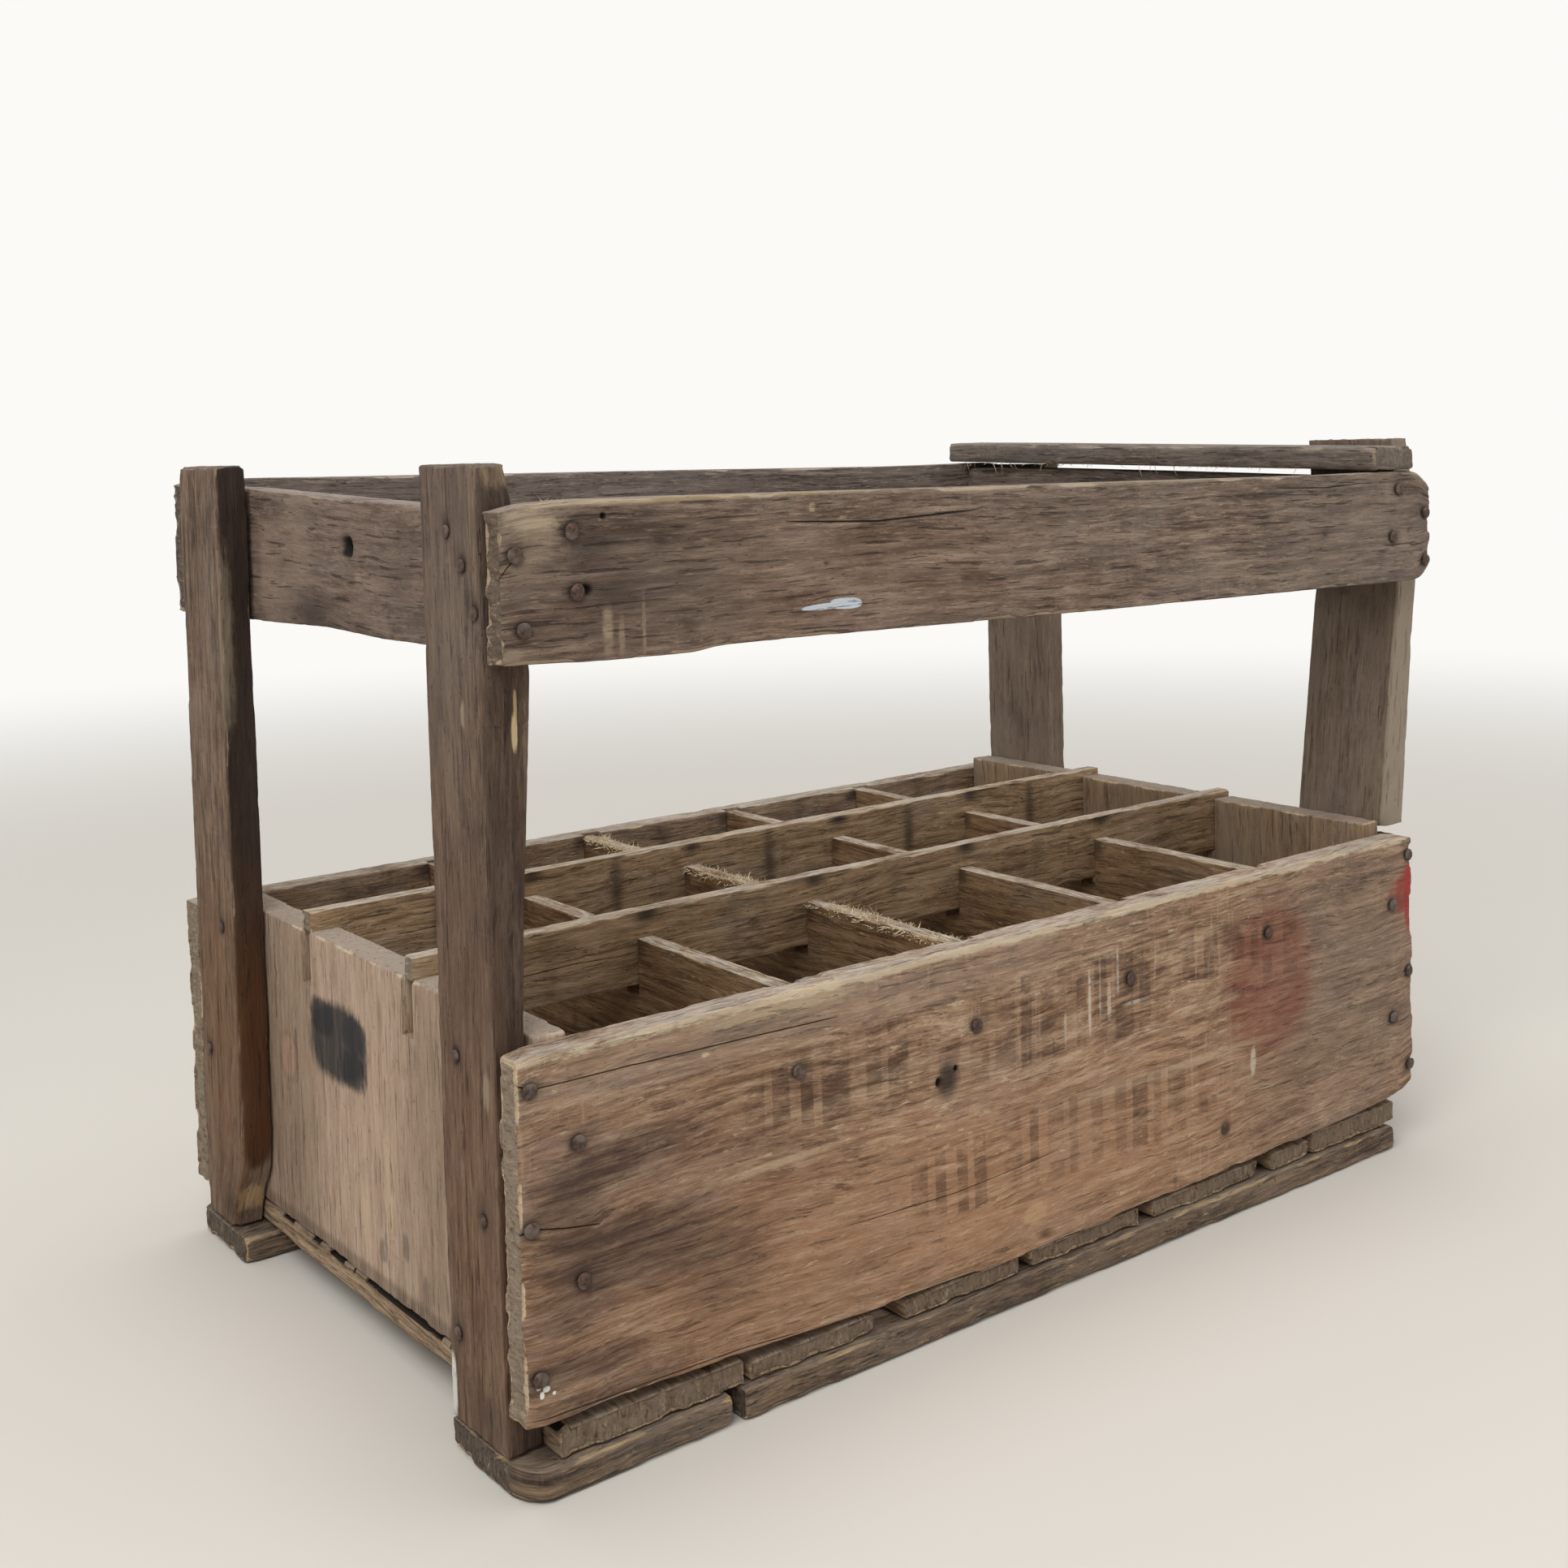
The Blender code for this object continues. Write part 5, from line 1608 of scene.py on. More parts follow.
@dataclass
class BottleGrid:
    """The cross dividers and the two long strips.

    Attributes:
        crate: What the crate shares.
        slot_depth: How far a divider's slot reaches below its strip, in metres.
        tab_length: Length of the strips' thin left ends, in metres.
        tab_height: Height of those ends, in metres.
        torn: The divider whose top edge is badly torn.
        crossings: Where the strips cross the dividers, in millimetres.
    """

    crate: Crate
    slot_depth: float = 5 * MM
    tab_length: float = 8 * MM
    tab_height: float = 9.9 * MM
    torn: int = 2
    crossings: tuple[float, ...] = (132.4, 229.5, 329.2, 430.2)

    def build_divider(self, number: int) -> None:
        """Builds one cross divider, with dirt from use on both faces.

        Args:
            number: Which one, from the left.
        """
        node = f"cross_divider_{number}"
        spots = [Blemish((y, 164), (5, 8), 0.6, side=Side.BOTH) for y in (18, 112, 126, 215, 229)]
        spots += [Blemish((y, 110), (4, 40), 0.35, side=Side.BOTH) for y in (62, 170, 272)]
        edge = dict(chip=1.9, chip_bias=0.3) if number == self.torn else dict(chip=1.0)
        self.crate.timber(f"divider_{number}", node, Lay.BOARD_ACROSS, "divider", "divider", 16 + number,
                          pitch=2.5, edge=0.5, end_rough=0.3, follow=(False, False), blemishes=spots,
                          notches=self.crate.strip_slots(node, Lay.BOARD_ACROSS, self.slot_depth), **edge)

    def build_strip(self, side: str, seed: int, deep: float) -> None:
        """Builds one long strip.

        Args:
            side: The side that it is on.
            seed: Chooses its noise.
            deep: How strongly its dark runs show, from 0 to 1.
        """
        node = f"{side}_long_divider"
        low, high = self.crate.box(node)
        tab = cut(Lay.BOARD_ALONG, tuple(low - BEYOND),
                  (low[0] + self.tab_length, high[1] + BEYOND, high[2] - self.tab_height))
        spots = [Blemish((x + 2, 161), (5.0, 26), deep, side=Side.BOTH) for x in (81, 181, 279, 380, 478)]
        spots += [Blemish((x + 12, 166), (3.0, 14), deep / 2, side=Side.BOTH) for x in (81, 279, 478)]
        spots += [Blemish((x + 1, 177), (8, 5), 0.8, side=Side.BOTH) for x in self.crossings]
        cracks = [Crack(((60, 160), (95, 161), (126, 159.5)), 0.8, 0.3),
                  Crack(((250, 163), (290, 162), (322, 163)), 0.8, 0.3)]
        self.crate.timber(f"strip_{side}", node, Lay.BOARD_ALONG, "strip", "divider", seed, pitch=1.8, edge=0.5,
                          chip=1.3, chip_bias=0.15, warp=0.5, end_rough=0.5, follow=(False, False),
                          blemishes=spots, cracks=cracks, notches=[tab])

    def build(self) -> None:
        """Builds the six pieces."""
        for number in range(1, 5):
            self.build_divider(number)
        self.build_strip("front", 22, 0.3)
        self.build_strip("back", 23, 0.62)


@dataclass
class CrateFloor:
    """The slats and the runners.

    Attributes:
        crate: What the crate shares.
        gnaw: How the first slat's upper outer edge is eaten away: across and through in millimetres, share.
        nose: Radius of the front runner's worn corner, in millimetres.
    """

    crate: Crate
    gnaw: Triple = (5.0, 2.4, 0.60)
    nose: float = 12.0

    def build(self) -> None:
        """Builds the ten pieces."""
        for number in range(1, 8):
            own = dict(pitch=1.8, gnaw=self.gnaw) if number == 1 else dict(pitch=2.4)
            self.crate.timber(f"slat_{number}", f"bottom_slat_{number}", Lay.FLAT_ACROSS, "slat", "slat", 30 + number,
                              edge=0.6, chip=1.6, chip_bias=0.1, ridge=0.3, end_rough=0.9, follow=(False, False), **own)
        for seed, name, node, nose in ((40, "runner_front_left", "front_runner_left", self.nose),
                                       (41, "runner_front_right", "front_runner_right", 0.0),
                                       (42, "runner_back", "back_runner", 0.0)):
            self.crate.timber(name, node, Lay.FLAT_ALONG, "runner", "runner", seed, pitch=2.2, edge=1.6, chip=2.0,
                              chip_bias=0.1, ridge=0.35, warp=0.5, end_rough=0.9, follow=(True, False), nose=nose)


@dataclass
class Frays:
    """Torn fibres along sawn edges.

    Attributes:
        crate: What the crate shares.
        sides: Points round a fibre.
        rings: Rings along a fibre.
    """

    crate: Crate
    sides: int = 3
    rings: int = 4

    def needles(self, roots: np.ndarray, ways: np.ndarray, lengths: np.ndarray, radii: np.ndarray,
                droop: np.ndarray) -> tuple[np.ndarray, np.ndarray]:
        """Tapered fibres as whole arrays.

        Formula: at share t of its length a fibre's middle is root + way * length * t + droop * length * t^2,
        and its radius is the root's times 1 - 0.85 t. Three points stand round the middle, and each end
        is one triangle.

        Args:
            roots: N by 3 starts.
            ways: N by 3 unit directions.
            lengths: N lengths.
            radii: N radii at the root.
            droop: N by 3 bends.

        Returns:
            Points and triangles.
        """
        share = np.linspace(0, 1, self.rings)
        middle = (roots[:, None] + ways[:, None] * (lengths[:, None] * share)[..., None]
                  + droop[:, None] * (lengths[:, None] * share ** 2)[..., None])
        side = np.cross(ways, (0.31, 0.52, 0.8))
        side /= np.linalg.norm(side, axis=1, keepdims=True)
        other = np.cross(ways, side)
        turn = np.arange(self.sides) / self.sides * 2 * np.pi
        ring = np.cos(turn)[:, None] * side[:, None] + np.sin(turn)[:, None] * other[:, None]
        width = radii[:, None] * (1 - 0.85 * share)
        points = middle[:, :, None] + ring[:, None] * width[:, :, None, None]
        count = self.rings * self.sides
        caps = [[2, 1, 0], [count - 3, count - 2, count - 1]]
        one = np.concatenate([tube(self.rings, self.sides, inward=True), caps])
        faces = one[None] + np.arange(len(roots))[:, None, None] * count
        return points.reshape(-1, 3), faces.reshape(-1, 3)

    def grow(self, name: str, roots: np.ndarray, lean: Triple, spread: float, lengths: Pair, radii: Pair,
             seed: int) -> None:
        """Grows fibres from roots round one leaning direction.

        Args:
            name: The piece's name.
            roots: N by 3 starts in metres.
            lean: The mean direction.
            spread: How far the fibres scatter round it.
            lengths: Shortest and longest, in millimetres.
            radii: Thinnest and thickest, in millimetres.
            seed: Chooses the scatter.
        """
        rng = np.random.default_rng(seed)
        ways = np.array(lean) + rng.normal(0, spread, (len(roots), 3))
        ways /= np.linalg.norm(ways, axis=1, keepdims=True)
        reach = (lengths[0] + (lengths[1] - lengths[0]) * rng.random(len(roots)) ** 2) * MM
        thick = rng.uniform(radii[0], radii[1], len(roots)) * MM
        points, faces = self.needles(roots, ways, reach, thick, rng.normal(0, 0.35, (len(roots), 3)))
        thing = place_mesh(name, points, faces, self.crate.woods["fibre"], 80.0)
        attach(thing, "root")
        LOG.info("%s: %d fibres", name, len(roots))

    def along(self, start: Triple, end: Triple, count: int, width: Triple, seed: int) -> np.ndarray:
        """Random roots along a line, in clumps, in metres in the row frame.

        Args:
            start: One end, in millimetres from the crate's corner.
            end: The other end.
            count: How many.
            width: Half the scatter on each axis.
            seed: Chooses the places.

        Returns:
            Count by 3 places.
        """
        rng = np.random.default_rng(seed)
        share = rng.random(count * 4)
        clump = lattice_noise(share[:, None] * (26, 0, 0), seed)
        share = share[np.argsort(-(clump + rng.normal(0, 0.8, len(share))))[:count]]
        places = np.array(start) + share[:, None] * (np.array(end) - np.array(start))
        places = places + rng.uniform(-1, 1, (count, 3)) * np.array(width)
        return self.crate.corner + places * MM

    def build(self) -> None:
        """Grows the fibres on the second divider, the front rail's corner and the plank."""
        tufts = (
            ("divider", (229.5, 16, 166.0), (229.5, 312, 166.0), 1800, (4.6, 1, 0.5),
             (0.5, 0.3, 0.5), 0.95, (1.0, 3.6), (0.2, 0.36)),
            ("divider_side", (224.8, 16, 164.5), (224.8, 312, 164.5), 420, (0.3, 1, 1.6),
             (-0.7, 0.1, 0.5), 0.6, (1.2, 3.6), (0.18, 0.34)),
            ("rail", (24, 10, 368.0), (36, 13, 368.0), 26, (1, 1.5, 0.2),
             (0.2, -0.1, 0.8), 0.8, (1.2, 3.0), (0.15, 0.3)),
            ("plank", (521, 40, 365.6), (521, 310, 370.6), 70, (1.2, 2, 0.2),
             (0.1, 0.6, -0.7), 0.5, (1.5, 6.0), (0.15, 0.3)))
        for seed, (name, start, end, count, width, *scatter) in zip(range(5, 13, 2), tufts):
            self.grow(f"{name}_fibres", self.along(start, end, count, width, seed), *scatter, seed + 1)


@dataclass
class NailSet:
    """The nails that have CAD nodes, and the heads that show elsewhere.

    Attributes:
        crate: What the crate shares.
        sunk: How far the heads in the left posts have rusted into the wood, in metres.
        proud: How far below its node's top every other head stays, in metres.
        length: Length of the nails without a node, in metres.
    """

    crate: Crate
    sunk: float = 0.75 * MM
    proud: float = 0.12 * MM
    length: float = 12 * MM

    def build_nodes(self) -> None:
        """Builds one piece for each CAD nail."""
        for seed, name in enumerate(sorted(item for item in self.crate.names if "_nail_" in item)):
            low, high = self.crate.box(name)
            axis = int(np.argmax(high - low))
            outward = -np.eye(3)[axis]
            tip = (low + high) / 2
            sunk = name.startswith("left_post")
            tip[axis] = low[axis] + (self.sunk if sunk else self.proud)
            heads = [(tip, outward, high[axis] - low[axis] - MM)]
            self.crate.nails.build(name.replace("_nail_", "_nail_head_"), heads, seed + 1, name, 0.82 if sunk else 1.0)

    def build(self) -> None:
        """Builds the nodes' nails, and one group for each other face."""
        self.build_nodes()
        right, back, up = np.eye(3)
        board = ((7, 150), (27, 128), (6, 100), (26, 72), (7, 46), (545, 152), (532, 128), (547, 92), (533, 66),
                 (546, 42), (133, 136), (229, 133), (330, 135), (431, 131))
        rail = ((31, 360), (9, 350), (33, 333), (10, 320), (531, 352), (549, 342), (533, 326), (548, 316))
        plank = ((528, 7), (547, 9), (537, 171), (526, 320), (546, 322))
        post = ((272, 150), (300, 92), (282, 44), (275, 330), (301, 346))
        groups = (("back_board_nails", [(x, 329.9, z) for x, z in board], back),
                  ("back_rail_nails", [(x, 328.7, z) for x, z in rail], back),
                  ("plank_nails", [(x, y, 376.8 + 6.75 * y / 328 - 0.15) for x, y in plank], up),
                  ("right_post_nails", [(557.2, y, z) for y, z in post], right),
                  ("stray_nail", [(393.4, 0.1, 45.6)], -back))
        for seed, (name, places, outward) in zip(range(60, 160, 20), groups):
            heads = [(self.crate.corner + np.array(place) * MM, outward, self.length) for place in places]
            self.crate.nails.build(name, heads, seed)


@dataclass(frozen=True)
class Lamp:
    """A round soft lamp.

    Attributes:
        name: Its name.
        place: Where it stands, in metres.
        width: Its width, in metres.
        power: Its power, in watts.
    """

    name: str
    place: Triple
    width: float
    power: float


def stand_up(name: str, data: bpy.types.ID, side: np.ndarray, top: np.ndarray, back: np.ndarray,
             place: np.ndarray) -> bpy.types.Object:
    """Stands a camera or a lamp in the scene.

    Args:
        name: The object's name.
        data: The camera or lamp.
        side: The unit way to its right.
        top: The unit way up from it.
        back: The unit way that it looks away from.
        place: Where it stands, in metres.

    Returns:
        The object.
    """
    matrix = np.eye(4)
    for column, axis in enumerate((side, top, back, place)):
        matrix[:3, column] = axis
    thing = bpy.data.objects.new(name, data)
    thing.matrix_world = Matrix(matrix.tolist())
    bpy.context.scene.collection.objects.link(thing)
    return thing


@dataclass
class Studio:
    """Floor, light and the camera at the photograph's place.

    Attributes:
        eye: The camera's place from the crate's corner, in metres.
        yaw: Its turn from +Y towards +X, in radians.
        pitch: How far it looks down.
        roll: How far it leans.
        focal: Focal length in pixels of the photograph.
        centre: The pixel that the lens axis meets.
        frame: The photograph's width in pixels.
        sensor: The camera's sensor width, in millimetres.
        floor: The floor's smallest and largest ring, in metres.
        floor_rings: How many rings.
        sectors: Points in a ring.
        sunk: How far the floor lies under the crate, in metres.
        target: What the lamps face, in metres.
        lamps: The lamps.
        white: The screen colour of sky and far floor.
    """

    eye: Triple = (-0.3217, -0.5830, 0.3880)
    yaw: float = 0.6496
    pitch: float = 0.0528
    roll: float = -0.0266
    focal: float = 2297.6
    centre: Pair = (946.3, 664.9)
    frame: float = 1932.0
    sensor: float = 36.0
    floor: Pair = (0.4, 9.0)
    floor_rings: int = 14
    sectors: int = 48
    sunk: float = 0.2 * MM
    target: Triple = (0.0, 0.0, 0.18)
    lamps: tuple[Lamp, ...] = (Lamp("key", (-1.5, -1.1, 2.0), 1.6, 34.0), Lamp("fill", (1.7, -1.6, 1.1), 1.8, 9.0),
                               Lamp("top", (0.1, 0.2, 2.3), 1.8, 20.0))
    white: str = "fbfaf7"

    def build_camera(self, corner: np.ndarray) -> None:
        """Sets the camera.

        Formula: yaw and pitch give the way ahead; roll turns the way right and the way up round it; the
        lens shift is the centre's offset from the picture's middle over its width.

        Args:
            corner: The crate's near left corner on the ground.
        """
        ahead = np.array([math.sin(self.yaw) * math.cos(self.pitch), math.cos(self.yaw) * math.cos(self.pitch),
                          -math.sin(self.pitch)])
        right = np.array([math.cos(self.yaw), -math.sin(self.yaw), 0.0])
        above = np.cross(right, ahead)
        side = math.cos(self.roll) * right + math.sin(self.roll) * above
        top = -math.sin(self.roll) * right + math.cos(self.roll) * above
        data = bpy.data.cameras.new("photograph_camera")
        data.sensor_width = self.sensor
        data.lens = self.focal / self.frame * self.sensor
        data.shift_x = (self.frame / 2 - self.centre[0]) / self.frame
        data.shift_y = (self.centre[1] - self.frame / 2) / self.frame
        data.clip_start = 0.05
        place = corner + np.array(self.eye)
        bpy.context.scene.camera = stand_up("photograph_camera", data, side, top, -ahead, place)

    def build_floor(self) -> None:
        """A round pale floor that turns to white far away, as rings of a polar grid."""
        radii = np.geomspace(*self.floor, self.floor_rings)
        turn = np.linspace(0, 2 * np.pi, self.sectors, endpoint=False)
        points = np.stack([radii[:, None] * np.cos(turn), radii[:, None] * np.sin(turn),
                           np.full((len(radii), len(turn)), -self.sunk)], axis=-1).reshape(-1, 3)
        points = np.concatenate([points, [[0.0, 0.0, -self.sunk]]])
        around = np.arange(self.sectors)
        fan = np.stack([np.full(self.sectors, len(points) - 1), around, (around + 1) % self.sectors], axis=1)
        faces = np.concatenate([tube(self.floor_rings, self.sectors), fan])
        material, sheet, shader = new_material("pale_floor")
        shader.inputs["Base Color"].default_value = tone("d9d4cc")
        shader.inputs["Roughness"].default_value = 0.85
        shader.inputs["Specular IOR Level"].default_value = 0.2
        distance = sheet.length(sheet.node("TexCoord").outputs["Object"])
        rays = sheet.node("LightPath").outputs
        seen = sheet.math("MAXIMUM", rays["Is Camera Ray"], rays["Is Glossy Ray"])
        far = sheet.times(sheet.step(distance, 0.75, 2.6), seen)
        glow = sheet.node("Emission", {"Color": tone(self.white), "Strength": 1.0})
        mixed = sheet.node("MixShader", {0: far, 1: shader.outputs[0], 2: glow.outputs[0]})
        sheet.feed(material.node_tree.nodes["Material Output"].inputs["Surface"], mixed.outputs[0])
        place_mesh("studio_floor", points, faces, material)

    def build_lights(self) -> None:
        """One wide soft lamp from the upper left, a weaker one from the right, and one from above."""
        for lamp in self.lamps:
            data = bpy.data.lights.new(lamp.name, "AREA")
            data.shape, data.size, data.energy = "DISK", lamp.width, lamp.power
            ahead = np.array(self.target) - np.array(lamp.place)
            back = -ahead / np.linalg.norm(ahead)
            side = np.cross((0.02, 1.0, 0.0), back)
            side /= np.linalg.norm(side)
            stand_up(lamp.name, data, side, np.cross(back, side), back, lamp.place)

    def build_sky(self) -> None:
        """A pale sky that looks brighter than it lights: 0.45 for light, 1 for what is seen of it."""
        world = bpy.data.worlds.new("pale_sky")
        world.use_nodes = True
        bpy.context.scene.world = world
        sheet = NodeSheet(world.node_tree)
        rays = sheet.node("LightPath").outputs
        seen = sheet.math("MAXIMUM", rays["Is Camera Ray"], rays["Is Transmission Ray"])
        seen = sheet.math("MAXIMUM", seen, rays["Is Glossy Ray"])
        background = world.node_tree.nodes["Background"]
        background.inputs["Color"].default_value = tone(self.white)
        sheet.feed(background.inputs["Strength"], sheet.plus(0.45, sheet.times(seen, 0.55)))

    def build(self, corner: np.ndarray) -> None:
        """Builds camera, floor, lights and sky.

        Args:
            corner: The crate's near left corner on the ground.
        """
        self.build_camera(corner)
        self.build_floor()
        self.build_lights()
        self.build_sky()
        bpy.context.scene.view_settings.view_transform = "Standard"


def on_front(level: float, depth: float, rows: list[tuple]) -> tuple[Patch, ...]:
    """Patches on a face that looks along Y.

    Args:
        level: The face's Y.
        depth: How far the patches reach in Y.
        rows: For each patch its X and Z, how far it reaches in X and Z, and its other fields in order.

    Returns:
        The patches in painting order.
    """
    return tuple(Patch((x, level, z), (wide, depth, high), *rest) for x, z, wide, high, *rest in rows)


def on_left(level: float, depth: float, rows: list[tuple]) -> tuple[Patch, ...]:
    """Patches on a face that looks along X, from rows of Y and Z, reach in Y and Z, and the other fields."""
    return tuple(Patch((level, y, z), (depth, wide, high), *rest) for y, z, wide, high, *rest in rows)


def board_patches() -> tuple[Patch, ...]:
    """Dirt, bleached wood and old paint on the front board.

    Returns:
        The patches in painting order.
    """
    dirt = on_front(0, 6, [
        (60, 76, 78, 66, "6b4a34", 0.40, 0.6, 0.7, 0.2),
        (250, 58, 150, 36, "b98c68", 0.50, 0.5, 0.8, 0.3),
        (488, 105, 74, 75, "75675b", 0.55, 0.4, 0.7, 0.2),
        (150, 156, 150, 10, "9a8878", 0.45, 0.5, 0.6, 0.2),
        (46, 121, 30, 9, "382824", 0.70, 1.3, 0.6, 0.35, 0.1),
        (58, 84, 34, 14, "382824", 0.72, 1.4, 0.6, 0.35, -0.1),
        (22, 96, 14, 34, "3b2b26", 0.62, 1.2, 0.6, 0.3),
        (20, 47, 30, 5, "382824", 0.70, 1.1, 0.5, 0.3),
        (36, 34, 34, 4, "4a362b", 0.60, 1.2, 0.5, 0.3),
        (92, 66, 20, 12, "4a362c", 0.50, 1.4, 0.6, 0.4),
        (428, 113, 33, 36, "80422f", 0.70, 0.5, 0.3, 0.4),
        (400, 140, 7, 7, "54362b", 0.55, 0.6, 0.3, 0.3)])
    red = on_front(0, 9, [(549, 135, 6, 19, "a33831", 0.92, 0.3, 0.2, 0.12)]) + on_front(0, 6, [
        (543, 139, 7, 10, "9c3a33", 0.88, 0.45, 0.25, 0.2, 0.5),
        (536, 140, 7, 5, "8f4238", 0.70, 0.6, 0.3, 0.3, 0.5)])
    scratches = on_front(0, 6, [
        (299, 127, 0.9, 15, "d9cfc0", 0.75, 1.5, 0.3, 0.4),
        (306, 133, 0.7, 13, "d9cfc0", 0.65, 1.5, 0.3, 0.4),
        (312, 126, 1.2, 9, "d9cfc0", 0.60, 1.6, 0.3, 0.5),
        (318, 138, 0.8, 11, "d9cfc0", 0.70, 1.5, 0.3, 0.4),
        (283, 119, 0.8, 8, "d9cfc0", 0.60, 1.5, 0.3, 0.5),
        (330, 122, 9, 0.8, "d9cfc0", 0.55, 1.5, 0.3, 0.5)])
    pale = on_front(0, 3, [(275, 166.6, 290, 2.2, "dfd0b4", 0.85, 2.6, 0.35, 0.5)]) + on_front(0, 6, [
        (120, 100, 30, 1.6, "d0bb9c", 0.55, 1.2, 0.4, 0.6),
        (352, 84, 70, 2.2, "ccb596", 0.55, 1.2, 0.4, 0.6),
        (150, 118, 34, 2, "ccb596", 0.45, 1.2, 0.5, 0.7),
        (120, 162, 40, 3, "d2bd9b", 0.55, 1.4, 0.5, 0.6),
        (415, 74, 2.0, 7, "d2c6b0", 0.80, 0.9, 0.3, 0.2, 0.6),
        (262, 40, 7, 5, "c9a67c", 0.65, 1.5, 0.3, 0.4),
        (84.4, 151.5, 2.0, 0.9, "dcc6a0", 0.70, 1.6, 0.3, 0.2)])
    drops = on_front(0, 6, [(x, z, wide, high, "efece6", 0.95, 0.4, 0.2, 0.0) for x, z, wide, high in (
        (6.2, 45.4, 1.0, 1.0), (9.4, 44.0, 1.4, 1.1), (7.4, 42.2, 0.9, 1.3), (12.5, 41.6, 0.7, 0.6))])
    return dirt + red + scratches + pale + drops


def side_patches() -> tuple[tuple[Patch, ...], tuple[Patch, ...], tuple[Patch, ...]]:
    """Stains, paint and painted shade on the left panel, the near left post and the far left post.

    Returns:
        Three lists of patches in painting order.
    """
    panel = on_left(16, 8, [
        (170, 96, 96, 60, "bda08a", 0.35, 0.6, 0.8, 0.3),
        (90, 90, 34, 90, "6f5b48", 0.45, 0.5, 0.8, 0.2),
        # Painted shadow: the panel's far end is darkened beside the far left post.
        (248, 85, 34, 95, "6f5b4a", 0.62, 0.8, 0.8, 0.2),
        (246, 105, 9.6, 11.8, "77604e", 0.60, 0.3, 0.2, 0.1),
        (190, 124.5, 30, 17.5, "1f2023", 0.94, 0.45, 0.17, 0.10, -0.08),
        (206, 133, 13, 8.5, "1f2023", 0.90, 0.8, 0.2, 0.15),
        (172, 132, 12, 8, "242528", 0.85, 0.8, 0.2, 0.15),
        (174, 116, 13, 8.5, "1f2023", 0.88, 0.9, 0.25, 0.15),
        (142, 74, 4, 20, "d4bc9b", 0.60, 0.8, 0.6, 0.2),
        (166, 54, 4, 14, "d4bc9b", 0.55, 0.9, 0.6, 0.2),
        (246, 105, 8, 10, "b4937c", 0.75, 0.4, 0.3, 0.1),
        (128, 52, 3, 6, "33302d", 0.60, 1.2, 0.3, 0.5),
        (150, 43, 4, 5, "3b3530", 0.60, 1.2, 0.3, 0.5),
        (110, 38, 3, 8, "3b3530", 0.60, 1.2, 0.3, 0.5),
        # Painted shade: a dark band along the panel's bottom, where it meets the floor slats.
        (160, 28, 140, 4, "4d3d30", 0.55, 1.0, 0.5, 0.2)])
    # The first patch darkens the post's whole -Y face: painted shade, with some grime.
    near = (Patch((9, 14.4, 200), (8.3, 3.2, 320), "2a1b14", 0.74, 0.35, 0.2, 0.2),
            *on_left(0, 6, [(36, 100, 26, 100, "80573a", 0.35, 0.4, 0.7, 0.2),
                            (36, 225, 26, 70, "5a473a", 0.40, 0.5, 0.7, 0.2),
                            (36, 340, 24, 50, "7d7066", 0.40, 0.5, 0.7, 0.2),
                            (40, 262, 5, 24, "8d7a66", 0.45, 1.2, 0.5, 0.4)]),
            Patch((10, 15, 378), (7, 4, 4), "c0a885", 0.60, 2.6, 0.5, 0.9),
            Patch((13.6, 14.6, 284), (1.2, 4, 7), "d3bd92", 0.90, 1.0, 0.25, 0.2),
            Patch((14.2, 14.6, 292), (0.7, 4, 8), "c4ab7e", 0.85, 1.0, 0.25, 0.3),
            Patch((0, 57, 27), (3.5, 3.4, 13), "efebe4", 0.92, 1.0, 0.2, 0.15),
            Patch((2, 30, 290), (4, 1.5, 5), "a8977f", 0.70, 1.2, 0.3, 0.3),
            Patch((0, 22, 150), (4, 2.2, 7), "a8977f", 0.70, 1.3, 0.3, 0.3))
    # The first patch is painted shadow over the post's whole -Y face, which lies in the crate's shade.
    far = (Patch((9, 266.4, 200), (8.6, 3.8, 400), "23150c", 0.97, 0.3, 0.15, 0.05),
           Patch((10, 266.4, 75), (8.4, 3.8, 95), "59330f", 0.66, 0.7, 0.5, 0.1),
           Patch((9, 276, 28), (9, 8, 8), "bfa27a", 0.85, 2.2, 0.3, 0.3),
           Patch((8, 274, 19), (9, 9, 4), "1c1410", 0.80, 1.2, 0.3, 0.1),
           Patch((2, 268, 300), (4, 2, 40), "a08f79", 0.55, 1.2, 0.4, 0.4),
           Patch((0, 290, 100), (5, 24, 90), "704b29", 0.60, 0.6, 0.7, 0.2))
    return panel, near, far


